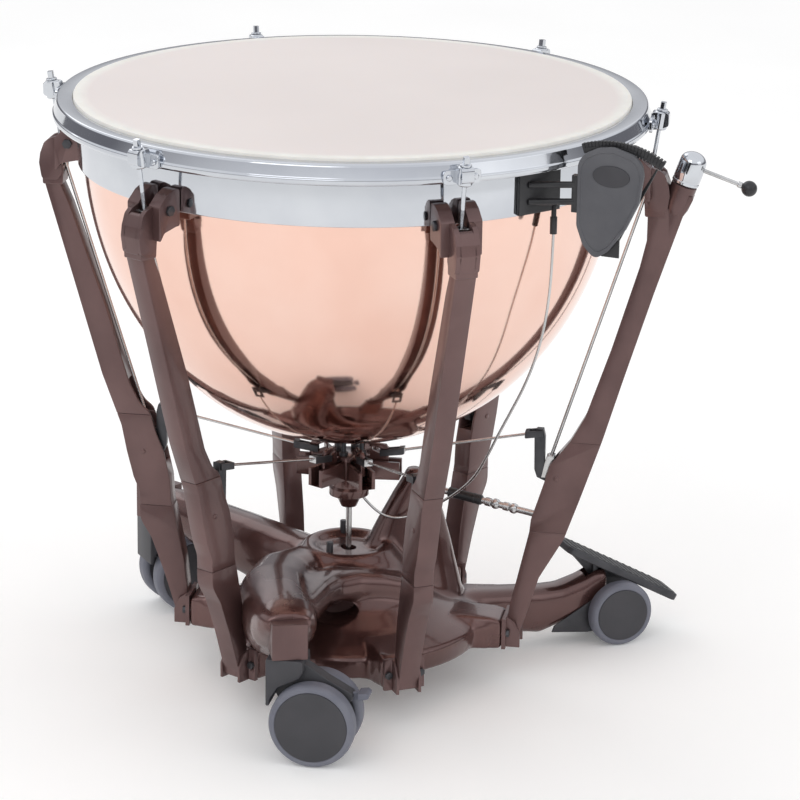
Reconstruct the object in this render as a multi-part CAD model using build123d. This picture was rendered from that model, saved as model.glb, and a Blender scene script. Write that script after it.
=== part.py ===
from build123d import *
import math
import os

# A 32-inch pedal timpano. Millimetres, +Z up, origin on the drum's axis at floor level.
# The player and the pedal are on the -Y side. Angles are degrees from +X, anticlockwise from above.

# Head, hoop, ring and kettle
HOOP_RADIUS = 433.0
HOOP_TOP = 892.0
HEAD_TOP = 896.0
LIP_RADIUS = 403.5
RING_RADIUS = 399.0
RING_BOTTOM = 798.0
RING_TOP = 864.0
KETTLE_RADIUS = 394.6
KETTLE_SHOULDER = 866.0
KETTLE_BOTTOM = 379.0
KETTLE_WALL = 3.0
VENT_RADIUS = 12.0

# Struts, one under each tuning lug
STRUT_ANGLES = [180.0, 120.0, 60.0, 0.0, -60.0]
TUNER_ANGLE = -120.0
ALL_ANGLES = STRUT_ANGLES + [TUNER_ANGLE]
STRUT_WIDTH = 30.0
EAR_GAP = 10.0
EAR_SPAN = 30.0
HEAD_HALF = 20.0
BRACKET_HALF = 31.0
FOOT_INNER = 246.0
FOOT_OUTER = 262.0
FOOT_BOTTOM = 64.0

# Tension system, as (radius, height) in each strut's plane
LEVER_PIVOT = (314.0, 330.0)
ROD_PIN = (296.0, 334.0)
TIE_PIN = (287.0, 397.0)
CLEVIS_CENTRE = (437.6, 790.0)
SCREW_TOP = (450.5, 893.0)
SCREW_SLOPE = 0.1433
LEVER_HALF = 5.5
PIVOT_RADIUS = 4.0
RUNNING = 0.05

# Hub under the kettle, with the crown that draws the tie rods inwards
CROWN_PIN = (52.0, 349.0)
CROWN_TRAVEL = 13.8
TIE_INWARD = 13.7
TIE_DOWN = 7.6
HUB_RADIUS = 27.0
HUB_TOP = 346.0
HUB_FLOOR = 278.0
PULL_RADIUS = 4.5

# Base, pedal and pedal linkage, as (distance towards the player, height)
CRANK_PIVOT = (35.0, 107.0)
CRANK_ROD_PIN = (0.0, 114.0)
CRANK_LINK_PIN = (26.0, 60.0)
SLOT_RUN = 1.2
PEDAL_PIVOT = (411.0, 112.0)
PEDAL_LINK_PIN = (403.0, 59.0)
CHANNEL_HALF = 14.0
ARM_HALF = 25.0
BOARD_TOE = (352.0, 168.0)
BOARD_HEEL = (540.0, 65.0)
BOARD_THICK = 10.0
BOARD_HALF = 36.0

# Casters and wheels
SWIVEL_POINTS = {"front": (-288.0, 193.0), "rear": (334.0, 198.0)}
SWIVEL_TRAILS = {"front": -121.0, "rear": -84.0}
CASTER_TRAIL = 42.0
CASTER_RADIUS = 62.5
CASTER_TOP = 141.0
WHEEL_INNER = 14.0
WHEEL_OUTER = 44.0
BRAKE_PIN = (90.0, 97.0)
SMALL_RADIUS = 51.0
SMALL_AXLE = (434.0, 51.0)
SMALL_INNER = 28.4
SMALL_OUTER = 54.0

# Tuning gauge
GAUGE_CENTRE = (-438.0, -214.0, 826.0)
GAUGE_FACING = 135.0
POINTER_PIVOT = (5.0, -66.0)
POINTER_START = 28.0
SCALE_RADIUS = 146.0
CLAMP_ANGLE = -163.0
CLAMP_ASIDE = 46.0

# Fine tuner: its shaft runs down inside the player's right-hand strut
TUNER_FOOT = (313.0, 275.0)
TUNER_HEAD = (490.0, 797.0)
CROSS_START = (-144.0, -249.4, 267.0)
CROSS_END = (-12.0, -120.0, 283.0)

# Gauge cable, from the clamp on the ring, past the horn, to the foot of the hub
CABLE_RADIUS = 2.0
CABLE_ROUTE = [
    (-373.5, -162.3, 765.6),
    (-372.0, -162.0, 716.0),
    (-366.0, -161.0, 664.0),
    (-352.0, -159.0, 612.0),
    (-328.0, -157.0, 564.0),
    (-297.0, -154.0, 517.0),
    (-263.0, -150.0, 473.0),
    (-229.0, -145.0, 428.0),
    (-195.0, -142.0, 383.0),
    (-157.0, -139.0, 341.0),
    (-112.0, -132.0, 305.0),
    (-68.0, -121.0, 275.0),
    (-39.0, -97.0, 250.0),
    (-24.0, -64.0, 240.0),
    (-15.0, -35.0, 254.0),
    (-10.0, -18.0, 277.6),
]


def at(radius, angle, height, aside=0.0):
    """A point given by radius and angle, moved aside along the anticlockwise tangent."""
    a = math.radians(angle)
    x = radius * math.cos(a) - aside * math.sin(a)
    y = radius * math.sin(a) + aside * math.cos(a)
    return (x, y, height)


def radial(angle, aside=0.0):
    """The upright plane through the axis: its x is the radius and its y is the height."""
    a = math.radians(angle)
    return Plane(origin=at(0, angle, 0, -aside), x_dir=(math.cos(a), math.sin(a), 0),
                 z_dir=(math.sin(a), -math.cos(a), 0))


def slab(outline, angle, low, high):
    """A flat plate with its outline in a radial plane, between two distances from that plane."""
    face = make_face(Polyline(*outline, close=True))
    plate = Pos(0, 0, low) * extrude(face, high - low)
    return radial(angle).location * plate


def middle_slab(outline, angle, half):
    return slab(outline, angle, -half, half)


def side_slabs(outline, angle, near, far):
    return slab(outline, angle, near, far) + slab(outline, angle, -far, -near)


def cross_pin(point, angle, radius, half):
    """A pin across the radial plane at (radius, height)."""
    pin = Pos(point[0], point[1], 0) * Cylinder(radius, 2 * half)
    return radial(angle).location * pin


def bar(start, end, radius, top_radius=None):
    """A round bar, or a cone, between two points."""
    axis = Vector(*end) - Vector(*start)
    plane = Plane(origin=start, z_dir=axis)
    align = (Align.CENTER, Align.CENTER, Align.MIN)
    if top_radius is None:
        return plane.location * Cylinder(radius, axis.length, align=align)
    return plane.location * Cone(radius, top_radius, axis.length, align=align)


def along(start, end, share):
    return tuple(a + (b - a) * share for a, b in zip(start, end))


def turned(outline):
    """A solid of revolution about the drum's axis from (radius, height) points."""
    points = [(r, 0, z) for r, z in outline]
    return revolve(make_face(Polyline(*points, close=True)), Axis.Z)


def rod_point(height):
    """Where the tension rod's line is at a height."""
    share = (height - ROD_PIN[1]) / (CLEVIS_CENTRE[1] - ROD_PIN[1])
    return (ROD_PIN[0] + share * (CLEVIS_CENTRE[0] - ROD_PIN[0]), height)


def screw_point(height):
    """Where the tension screw's line is at a height."""
    return (SCREW_TOP[0] - SCREW_SLOPE * (SCREW_TOP[1] - height), height)


def tuner_point(height):
    share = (height - TUNER_FOOT[1]) / (TUNER_HEAD[1] - TUNER_FOOT[1])
    return (TUNER_FOOT[0] + share * (TUNER_HEAD[0] - TUNER_FOOT[0]), height)


def place(point, angle, aside=0.0):
    return at(point[0], angle, point[1], aside)


def ring_lip():
    """The kettle's flared lip and bearing edge, outside then inside."""
    shoulder = KETTLE_SHOULDER
    outside = [(KETTLE_RADIUS, shoulder), (402.6, shoulder + 10), (LIP_RADIUS, 888), (401.6, 894.7)]
    inside = [(398.8, 894.7), (397.6, 888), (397.6, shoulder + 12), (KETTLE_RADIUS - KETTLE_WALL, shoulder)]
    return outside, inside


def kettle_curve(radius, bottom, power, steps):
    """A rounded bowl profile from the bottom up to the shoulder."""
    top = KETTLE_SHOULDER
    points = []
    for i in range(steps + 1):
        turn = math.radians(90.0 * i / steps)
        r = radius * math.sin(turn) ** (2 / power)
        z = top - (top - bottom) * math.cos(turn) ** (2 / power)
        points.append((r, z))
    return points


def bowl():
    outside, inside = ring_lip()
    outer = kettle_curve(KETTLE_RADIUS, KETTLE_BOTTOM, 2.1, 28)[:-1]
    inner = kettle_curve(KETTLE_RADIUS - KETTLE_WALL, KETTLE_BOTTOM + KETTLE_WALL, 2.1, 28)[:-1]
    shell = turned(outer + outside + inside + inner[::-1])
    vent = Pos(0, 0, KETTLE_BOTTOM) * Cylinder(VENT_RADIUS, 20)
    return shell - vent


def suspension_ring():
    inner = KETTLE_RADIUS + 0.3
    return turned([(inner, RING_BOTTOM), (RING_RADIUS, RING_BOTTOM), (RING_RADIUS, RING_TOP),
                   (inner, RING_TOP)])


def drum_skin():
    rim = LIP_RADIUS + 0.3
    skin = [(0, HEAD_TOP - 1), (rim, HEAD_TOP - 1), (rim, 880), (rim + 0.8, 880), (rim + 0.8, HEAD_TOP - 1),
            (rim, HEAD_TOP), (0, HEAD_TOP)]
    return turned(skin)


def flesh_hoop():
    return turned([(405.3, 877), (417, 877), (420, 880), (420, 888.6), (405.3, 888.6)])


def counterhoop():
    r, top = HOOP_RADIUS, HOOP_TOP
    return turned([(405.3, top - 3), (405.3, top), (r - 2, top), (r, top - 2), (r, 873), (r + 1, 870),
                   (r, 866), (r - 4, 864), (r - 4, top - 3)])


def hoop_lugs():
    lugs = Part()
    for angle in ALL_ANGLES:
        face = HOOP_RADIUS + 1.3
        plate = slab([(face, 864), (face + 4.5, 864), (face + 4.5, 884), (face, 884)], angle, -27, 27)
        body = middle_slab([(face, 866), (458, 868), (461, 872), (461, 887), (458, 890), (436, 890),
                            (face, 886)], angle, 11)
        hole = bar(place(screw_point(860), angle), place(screw_point(895), angle), 3.1)
        lug = plate + body - hole
        for aside in (-19, 19):
            screw = bar(at(face + 4.5, angle, 874, aside), at(face + 7.5, angle, 874, aside), 4.0)
            lug += screw
        lugs += lug
    return lugs


def tension_screw(angle):
    shank = bar(place(screw_point(794), angle), place(screw_point(892), angle), 3.0)
    collar = bar(place(screw_point(891.6), angle), place(screw_point(894.6), angle), 7.5)
    low, high = place(screw_point(893), angle), place(screw_point(905), angle)
    axis = Vector(*high) - Vector(*low)
    a = math.radians(angle)
    head = Plane(origin=low, x_dir=(-math.sin(a), math.cos(a), 0), z_dir=axis).location * Box(
        8, 8, 12, align=(Align.CENTER, Align.CENTER, Align.MIN))
    return shank + collar + head


def fork_head(angle):
    """Two ears that carry the ring and a block behind them, with a pocket for the tension rod's nut."""
    face = RING_RADIUS + 0.4
    ear = [(face, 779), (407, 779), (430, 774), (437, 762), (437, 812), (425, 824), (412, 832), (face, 832)]
    block = [(436, 757), (440, 745), (463, 745), (467, 770), (465, 785), (459, 800), (452, 806), (436, 812)]
    pocket = [(420, 768), (452, 768), (452, 840), (420, 840)]
    head = side_slabs(ear, angle, EAR_GAP, EAR_SPAN) + middle_slab(block, angle, HEAD_HALF)
    return head - middle_slab(pocket, angle, EAR_GAP)


def knee_slot(angle):
    """The slot in a strut's knee where the bell crank and the rod's fork work."""
    wide = middle_slab([(255, 314), (311, 314), (311, 352), (331, 404), (341, 442), (255, 442)], angle, 11)
    deep = middle_slab([(290, 312), (328, 312), (328, 350), (290, 352)], angle, LEVER_HALF + 1)
    return wide + deep


def finish_strut(body, angle):
    pin = cross_pin(LEVER_PIVOT, angle, PIVOT_RADIUS, STRUT_WIDTH / 2 - 1)
    return body + fork_head(angle) - knee_slot(angle) + pin


def strut(angle):
    outer = [(463, 750), (418, 596), (376, 449), (347, 370), (339, 329), (329, 289), (320, 267), (319, 222),
             (302, 194), (283, 141), (FOOT_OUTER, 72), (FOOT_OUTER, FOOT_BOTTOM)]
    inner = [(FOOT_INNER, FOOT_BOTTOM), (FOOT_INNER, 104), (252, 163), (261, 207), (271, 256), (273, 290),
             (282, 331), (294, 362), (303, 394), (317, 404), (334, 437), (368, 552), (396, 633), (422, 708),
             (436, 740), (440, 756)]
    return finish_strut(middle_slab(outer + inner, angle, STRUT_WIDTH / 2), angle)


def tuner_strut():
    angle = TUNER_ANGLE
    outer = [(468, 766), (498, 771), (487, 742), (468, 683), (447, 617), (407, 484), (379, 388), (350, 300),
             (328, 236), (292, 172), (FOOT_OUTER, 72), (FOOT_OUTER, FOOT_BOTTOM)]
    inner = [(FOOT_INNER, FOOT_BOTTOM), (FOOT_INNER, 104), (250, 128), (276, 244), (278, 264), (296, 322),
             (304, 351), (331, 385), (354, 427), (390, 536), (427, 662), (436, 703), (436, 757), (463, 757)]
    body = finish_strut(middle_slab(outer + inner, angle, STRUT_WIDTH / 2), angle)
    boss = bar(place(tuner_point(742), angle), place(tuner_point(785), angle), 19.0)
    body += boss
    body -= bar(place(tuner_point(283), angle), place(tuner_point(800), angle), PIVOT_RADIUS + RUNNING)
    body -= bar(CROSS_START, CROSS_END, 5.0 + RUNNING)
    return body


def lever(angle):
    (px, pz), (rx, rz), (tx, tz) = LEVER_PIVOT, ROD_PIN, TIE_PIN
    outline = [(px + 9, pz + 6), (px + 9, pz - 6), (px, pz - 11), (rx, rz - 11), (rx - 12, rz - 6),
               (rx - 16, rz + 6), (tx - 8, tz - 6), (tx - 5, tz + 6), (tx + 5, tz + 6), (tx + 8, tz - 6),
               (rx - 1, rz + 14), (rx + 6, rz + 8), (px, pz + 11)]
    body = middle_slab(outline, angle, LEVER_HALF)
    body -= cross_pin(LEVER_PIVOT, angle, PIVOT_RADIUS + RUNNING, 20)
    body -= cross_pin(ROD_PIN, angle, 3.0 + RUNNING, 20)
    body -= cross_pin(TIE_PIN, angle, 3.0 + RUNNING, 20)
    return body


def tension_rod(angle):
    """Fork on the lever, thin rod, and the nut that the tension screw enters."""
    near = LEVER_HALF + 0.5
    top = rod_point(356)
    cheek = [(ROD_PIN[0] - 5, 329), (ROD_PIN[0] + 5, 329), (top[0] + 5, 362), (top[0] - 5, 362)]
    fork = side_slabs(cheek, angle, near, near + 2.5)
    bridge = middle_slab([(top[0] - 4, 357), (top[0] + 6, 357), (top[0] + 7, 363), (top[0] - 3, 363)], angle,
                         near + 2.5)
    pin = cross_pin(ROD_PIN, angle, 3.0, near + 2.5)
    rod = bar(place(rod_point(360), angle), place(rod_point(780), angle), 2.5)
    x, z = CLEVIS_CENTRE
    nut = middle_slab([(x - 11, z - 14), (x + 7, z - 14), (x + 10, z + 14), (x - 8, z + 14)], angle, 8)
    hole = bar(place(screw_point(788), angle), place(screw_point(812), angle), 3.8)
    return fork + bridge + pin + rod + (nut - hole)


def tie_rod(angle):
    near = LEVER_HALF + 0.5
    (ox, oz), (ix, iz) = TIE_PIN, CROWN_PIN
    outer_fork = side_slabs([(ox + 5, oz - 5), (ox + 5, oz + 5), (ox - 20, oz + 1), (ox - 20, oz - 9)], angle,
                            near, near + 2.5)
    outer_bridge = middle_slab([(ox - 16, oz - 8), (ox - 16, oz + 2), (ox - 22, oz + 1), (ox - 22, oz - 9)],
                               angle, near + 2.5)
    inner_fork = side_slabs([(ix - 5, iz - 5), (ix + 30, iz), (ix + 30, iz + 10), (ix - 5, iz + 5)], angle,
                            3.6, 6.4)
    inner_bridge = middle_slab([(ix + 24, iz), (ix + 32, iz + 1), (ix + 32, iz + 11), (ix + 24, iz + 10)],
                               angle, 6.4)
    pins = cross_pin(TIE_PIN, angle, 3.0, near + 2.5) + cross_pin(CROWN_PIN, angle, 3.0, 6.4)
    rod = bar(at(ox - 18, angle, oz - 3.9), at(ix + 28, angle, iz + 5.9), 2.0)
    return outer_fork + outer_bridge + inner_fork + inner_bridge + pins + rod


def pull_rod():
    """The central rod with its lower fork and the crown, whose slanted slots move the tie rods."""
    rod = bar((0, 0, 124), (0, 0, 334), PULL_RADIUS)
    fork = side_slabs([(-6, 108), (6, 108), (6, 130), (-6, 130)], -90, 4.6, 7.8)
    bridge = middle_slab([(-6, 123), (6, 123), (6, 131), (-6, 131)], -90, 7.8)
    pin = cross_pin((CRANK_ROD_PIN[0], CRANK_ROD_PIN[1]), -90, 3.0, 7.8)
    crown = Pos(0, 0, 321) * Cylinder(12, 30)
    x, z = CROWN_PIN
    slope = (CROWN_TRAVEL - TIE_DOWN) / TIE_INWARD
    for angle in ALL_ANGLES:
        fin = middle_slab([(10, 306), (24, 306), (24, 326), (60, 326), (60, 356), (56, 362), (34, 364),
                           (31, 338), (10, 338)], angle, 3)
        far = (x - TIE_INWARD, z + TIE_INWARD * slope)
        fin -= cross_pin(CROWN_PIN, angle, 3.7, 8)
        fin -= cross_pin(far, angle, 3.7, 8)
        lean = math.hypot(1, slope)
        up = (3.7 * slope / lean, 3.7 / lean)
        fin -= middle_slab([(x + up[0], z + up[1]), (x - up[0], z - up[1]), (far[0] - up[0], far[1] - up[1]),
                            (far[0] + up[0], far[1] + up[1])], angle, 8)
        crown += fin
    return rod + fork + bridge + pin + crown


def hub_housing():
    """Fixed housing: a drum with a lower flange and six open box arms that guide the tie rods."""
    body = turned([(0, HUB_FLOOR), (24, HUB_FLOOR), (30, HUB_FLOOR + 3), (30, 292), (HUB_RADIUS, 296),
                   (HUB_RADIUS, HUB_TOP), (0, HUB_TOP)])
    body += turned([(0, 262), (12, 262), (19, HUB_FLOOR), (0, HUB_FLOOR)])
    for angle in ALL_ANGLES:
        body += middle_slab([(20, 309), (78, 311), (78, 338), (20, 338)], angle, 13)
    body -= Pos(0, 0, 316) * Cylinder(24.5, 50)
    body -= Pos(0, 0, 270) * Cylinder(PULL_RADIUS + RUNNING, 60)
    for angle in ALL_ANGLES:
        body -= middle_slab([(20, 311.5), (80, 311.5), (80, 341), (20, 341)], angle, 7.6)
        body -= middle_slab([(10, 311.5), (33, 311.5), (33, 341), (10, 341)], angle, 3.8)
    return body


def hub_studs():
    studs = Part()
    for angle in (45, 135, 225, 315):
        x, y, _ = at(20, angle, 0)
        stud = bar((x, y, HUB_TOP), (x, y, 388), 3.5)
        nut = bar((x, y, HUB_TOP), (x, y, HUB_TOP + 6), 6.5)
        studs += stud + nut + bar((x, y, 383), (x, y, 387), 6.5)
    return studs


def base_casting():
    """The floor casting: a hollow centre, six spokes, two caster arms, the pedal arm and the horn."""
    body = turned([(0, 62), (112, 62), (116, 80), (112, 112), (84, 160), (60, 192), (52, 202), (40, 202),
                   (36, 194), (0, 194)])
    for angle in ALL_ANGLES:
        body += middle_slab([(60, 58), (236, 56), (240, 60), (240, 104), (170, 112), (60, 124)], angle, 32)
    for name, (x, y) in SWIVEL_POINTS.items():
        reach, angle = math.hypot(x, y), math.degrees(math.atan2(y, x))
        body += middle_slab([(60, 66), (180, 88), (202, 124), (300, CASTER_TOP), (reach, CASTER_TOP),
                             (reach, 196), (200, 172), (60, 186)], angle, 27)
        body += Pos(x, y, (CASTER_TOP + 197) / 2) * Rot(0, 0, angle) * Box(56, 56, 197 - CASTER_TOP)
        body -= Pos(x, y, CASTER_TOP) * Cylinder(8 + RUNNING, 72)
    arm = [(60, 52), (250, 34), (321, 20), (328, 33), (380, 46), (416, 70), (422, 108), (418, 118),
           (411, 121), (404, 118), (389, 107), (364, 98), (330, 94), (200, 104), (110, 150), (60, 190)]
    body += middle_slab(arm, -90, ARM_HALF)
    horn = [(30, 150), (62, 200), (88, 250), (97, 296), (100, 309), (113, 311), (126, 300), (160, 255),
            (178, 180), (186, 92), (30, 92)]
    body += middle_slab(horn, -90, 18)
    channel = [(-24, 10), (450, 10), (450, 140), (386, 140), (386, 82), (90, 82), (60, 138), (-24, 138)]
    body -= middle_slab(channel, -90, CHANNEL_HALF)
    body -= bar((0, 0, 130), (0, 0, 210), 9.0)
    body -= bar(CROSS_START, CROSS_END, 5.0 + RUNNING)
    body += cross_pin(PEDAL_PIVOT, -90, 6.0, ARM_HALF)
    body += cross_pin(CRANK_PIVOT, -90, 5.0, CHANNEL_HALF + 2)
    return body


def base_crank():
    """Bell crank in the casting; the pull rod's pin runs in its open slot."""
    (px, pz), (rx, rz), (lx, lz) = CRANK_PIVOT, CRANK_ROD_PIN, CRANK_LINK_PIN
    outline = [(px + 10, pz + 8), (px + 10, pz - 8), (lx + 7, lz - 4), (lx, lz - 8), (lx - 7, lz - 4),
               (px - 14, pz - 6), (rx - 4, rz - 7), (rx - 8, rz - 6), (rx - 8, rz + 6), (px - 10, pz + 10),
               (px, pz + 12)]
    body = middle_slab(outline, -90, 4)
    body -= cross_pin(CRANK_PIVOT, -90, 5.0 + RUNNING, 9)
    body -= cross_pin(CRANK_LINK_PIN, -90, 3.8, 9)
    body -= cross_pin((rx + SLOT_RUN, rz), -90, 3.5, 9)
    body -= middle_slab([(rx - 10, rz - 3.5), (rx + SLOT_RUN, rz - 3.5), (rx + SLOT_RUN, rz + 3.5),
                         (rx - 10, rz + 3.5)], -90, 9)
    return body


def pedal_link():
    (ax, az), (bx, bz) = CRANK_LINK_PIN, PEDAL_LINK_PIN
    link = bar(at(ax + 20, -90, az), at(bx - 20, -90, bz), 4.0)
    for (x, z), way, near in (((ax, az), 1, 4.6), ((bx, bz), -1, 5.6)):
        cheek = [(x - 6 * way, z - 6), (x + 22 * way, z - 6), (x + 22 * way, z + 6), (x - 6 * way, z + 6)]
        link += side_slabs(cheek, -90, near, near + 3)
        tie = [(x + 16 * way, z - 6), (x + 23 * way, z - 6), (x + 23 * way, z + 6), (x + 16 * way, z + 6)]
        link += middle_slab(tie, -90, near + 3)
    link += cross_pin(CRANK_LINK_PIN, -90, 3.0, 7.6)
    link += cross_pin(PEDAL_LINK_PIN, -90, 3.5, 8.6)
    return link


def pedal_lever():
    """The pivoted bracket under the footboard, with the arm that draws the link."""
    x, z = PEDAL_PIVOT
    web = [(368, 152), (500, 82), (496, 74), (440, 96), (425, 98), (PEDAL_LINK_PIN[0] + 8, 58),
           (PEDAL_LINK_PIN[0], 51), (PEDAL_LINK_PIN[0] - 8, 58), (398, 104), (392, 112), (368, 140)]
    body = middle_slab(web, -90, 5)
    body += middle_slab([(x - 12, z - 10), (x + 12, z - 10), (x + 12, z + 8), (x - 12, z + 14)], -90, 13)
    body -= cross_pin(PEDAL_PIVOT, -90, 6.0 + RUNNING, 30)
    body -= cross_pin(PEDAL_LINK_PIN, -90, 3.5 + RUNNING, 30)
    return body - pedal_board()


def pedal_board():
    """The footboard, with its heel at the player's end."""
    toe, heel = BOARD_TOE, BOARD_HEEL
    run, fall = heel[0] - toe[0], heel[1] - toe[1]
    scale = BOARD_THICK / math.hypot(run, fall)
    drop = (fall * scale, -run * scale)
    outline = [toe, heel, (heel[0] + drop[0], heel[1] + drop[1]), (toe[0] + drop[0], toe[1] + drop[1])]
    return middle_slab(outline, -90, BOARD_HALF)


def foot_brackets():
    brackets = Part()
    for angle in ALL_ANGLES:
        back = middle_slab([(240, 60), (FOOT_INNER, 60), (FOOT_INNER, 108), (240, 108)], angle, BRACKET_HALF)
        cheek = [(FOOT_INNER, 60), (266, 60), (266, 82), (258, 100), (FOOT_INNER, 108)]
        brackets += back + side_slabs(cheek, angle, STRUT_WIDTH / 2, STRUT_WIDTH / 2 + 4)
    return brackets


def hex_bolt(start, end, head, radius, across):
    """A bolt whose head sits outside start and whose shank runs in to end."""
    axis = Vector(*start) - Vector(*end)
    bolt = bar(start, end, radius)
    hexagon = Plane(origin=start, z_dir=axis) * RegularPolygon(across / 2, 6, major_radius=False)
    return bolt + extrude(hexagon, head)


def frame_bolts():
    bolts = Part()
    for angle in ALL_ANGLES:
        for side in (-1, 1):
            bolts += hex_bolt(at(FOOT_INNER, angle, 84, 25 * side), at(222, angle, 84, 25 * side), 5, 3, 10)
            bolts += hex_bolt(at(420, angle, 804, EAR_SPAN * side), at(420, angle, 804, 16 * side), 4, 4, 13)
    for x, y in ((-34, 42), (52, -10)):
        bolts += hex_bolt((x, y, 199), (x, y, 185), 20, 4, 9)
    return bolts


def caster_frame(name):
    """A caster's own upright plane: x runs along its trail and y is the height."""
    x, y = SWIVEL_POINTS[name]
    a = math.radians(SWIVEL_TRAILS[name])
    return Plane(origin=(x, y, 0), x_dir=(math.cos(a), math.sin(a), 0), z_dir=(math.sin(a), -math.cos(a), 0))


def caster_plate(name, outline, low, high):
    face = make_face(Polyline(*outline, close=True))
    return caster_frame(name).location * Pos(0, 0, low) * extrude(face, high - low)


def caster_fork(name):
    """Hood, swivel stem, the web between the wheels, their axle and the brake's pin."""
    web = caster_plate(name, [(-22, 138), (22, 138), (58, 126), (98, 104), (94, 92), (60, 96), (56, 52),
                              (30, 52), (22, 84), (-10, 88), (-21, 108)], -11, 11)
    slot = caster_plate(name, [(82, 84), (104, 84), (110, 112), (82, 108)], -3.4, 3.4)
    hood = caster_plate(name, [(-27, CASTER_TOP - 0.4), (-27, 84), (-22, 84), (-20, 95), (-9, 113), (10, 122),
                               (22, 128), (30, 134), (27, CASTER_TOP - 0.4)], -28, 28)
    x, y = SWIVEL_POINTS[name]
    stem = bar((x, y, 130), (x, y, 172), 8)
    frame = caster_frame(name).location
    axle = frame * Pos(CASTER_TRAIL, CASTER_RADIUS, 0) * Cylinder(6, 2 * WHEEL_OUTER - 4)
    pin = frame * Pos(*BRAKE_PIN, 0) * Cylinder(2.5, 18)
    return hood + stem + (web - slot) + axle + pin


def caster_wheels(name):
    wheels = Part()
    place_axle = caster_frame(name).location * Pos(CASTER_TRAIL, CASTER_RADIUS, 0)
    for side in (-1, 1):
        middle = side * (WHEEL_INNER + WHEEL_OUTER) / 2
        disc = Pos(0, 0, middle) * Cylinder(CASTER_RADIUS, WHEEL_OUTER - WHEEL_INNER)
        disc = fillet(disc.edges().filter_by(GeomType.CIRCLE), 4)
        wheels += place_axle * (disc - Cylinder(6 + RUNNING, 100))
    return wheels


def caster_brake(name):
    tongue = caster_plate(name, [(84, 92), (88, 90), (98, 92), (114, 98), (114, 108), (98, 106), (86, 103)],
                          -3, 3)
    tab = caster_plate(name, [(108, 97), (118, 100), (119, 106), (116, 109), (108, 108)], -12, 12)
    hole = caster_frame(name).location * Pos(*BRAKE_PIN, 0) * Cylinder(2.5 + RUNNING, 40)
    return tongue + tab - hole


def small_wheel(side):
    width = SMALL_OUTER - SMALL_INNER
    wheel = Cylinder(SMALL_RADIUS, width)
    wheel = fillet(wheel.edges().filter_by(GeomType.CIRCLE), 4) - Cylinder(5 + RUNNING, 60)
    middle = side * (SMALL_INNER + SMALL_OUTER) / 2
    return radial(-90).location * Pos(*SMALL_AXLE, middle) * wheel


def wheel_bracket():
    """Two side plates on the pedal arm, with the small wheels' stub axles."""
    x, z = SMALL_AXLE
    plate = [(x + 10, z + 9), (x + 10, z - 9), (x - 20, 22), (387, 19), (326, 26), (330, 36), (372, 60),
             (408, 80), (x + 2, z + 20)]
    bracket = side_slabs(plate, -90, ARM_HALF, ARM_HALF + 2.6)
    for side in (-1, 1):
        stub = Pos(x, z, side * (ARM_HALF + 15)) * Cylinder(5, 29)
        bracket += radial(-90).location * stub
    return bracket


def gauge_plane(out):
    """The gauge's plane: x runs outwards from the hoop and y upwards, out is along its facing."""
    a = math.radians(GAUGE_FACING)
    x, y, z = GAUGE_CENTRE
    origin = (x + out * math.cos(a), y + out * math.sin(a), z)
    return Plane(origin=origin, x_dir=(-math.sin(a), math.cos(a), 0), z_dir=(math.cos(a), math.sin(a), 0))


def shield_outline(grow):
    """Outline of the shield: a broad round top that narrows to a blunt point."""
    points = [(-15, -85), (-33, -66), (-43, -40), (-43, 48), (-34, 62), (-14, 72), (8, 75), (38, 67),
              (50, 56), (53, 40), (47, 0), (29, -38), (4, -72)]
    return [(4 + (x - 4) * grow, y * grow) for x, y in points]


def gauge_shield():
    shell = gauge_plane(0).location * extrude(make_face(Polyline(*shield_outline(1.0), close=True)), 7)
    hollow = gauge_plane(-1).location * extrude(make_face(Polyline(*shield_outline(0.93), close=True)), 5)
    return shell - hollow


def on_scale(radius, degrees):
    """A place on the gauge given by its distance and angle from the pointer's pivot."""
    turn = math.radians(degrees)
    return (POINTER_PIVOT[0] + radius * math.sin(turn), POINTER_PIVOT[1] + radius * math.cos(turn))


def gauge_dial():
    """Fan-shaped scale plate, its rim and the movable note markers along it."""
    sweep = [-19 + 50 * i / 12 for i in range(13)]
    fan = [on_scale(20, 70), on_scale(20, 140), on_scale(20, -140), on_scale(20, -70)]
    fan += [on_scale(SCALE_RADIUS - 6, degrees) for degrees in sweep]
    plate = gauge_plane(-4.5).location * extrude(make_face(Polyline(*fan, close=True)), 2.5)
    edge = [on_scale(SCALE_RADIUS - 12, degrees) for degrees in sweep]
    edge += [on_scale(SCALE_RADIUS, degrees) for degrees in reversed(sweep)]
    rim = gauge_plane(-7.5).location * extrude(make_face(Polyline(*edge, close=True)), 3)
    dial = plate + rim
    for degrees in sweep[:-1]:
        x, y = on_scale(SCALE_RADIUS - 5, degrees + 2.2)
        marker = Pos(x, y, 0) * Rot(0, 0, -degrees - 2.2) * Box(8, 14, 5)
        dial += gauge_plane(-8.5).location * marker
    return dial + gauge_plane(-17).location * (Pos(*POINTER_PIVOT, 7) * Cylinder(3, 14))


def gauge_pointer():
    needle = make_face(Polyline((-4, -9), (4, -9), (5, 6), (1.2, 128), (-1.2, 128), (-5, 6), close=True))
    body = Pos(*POINTER_PIVOT, 0) * Rot(0, 0, -POINTER_START) * extrude(needle, 2)
    hole = Pos(*POINTER_PIVOT, 0) * Cylinder(3 + RUNNING, 60)
    return gauge_plane(-15.5).location * (body - hole)


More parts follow.
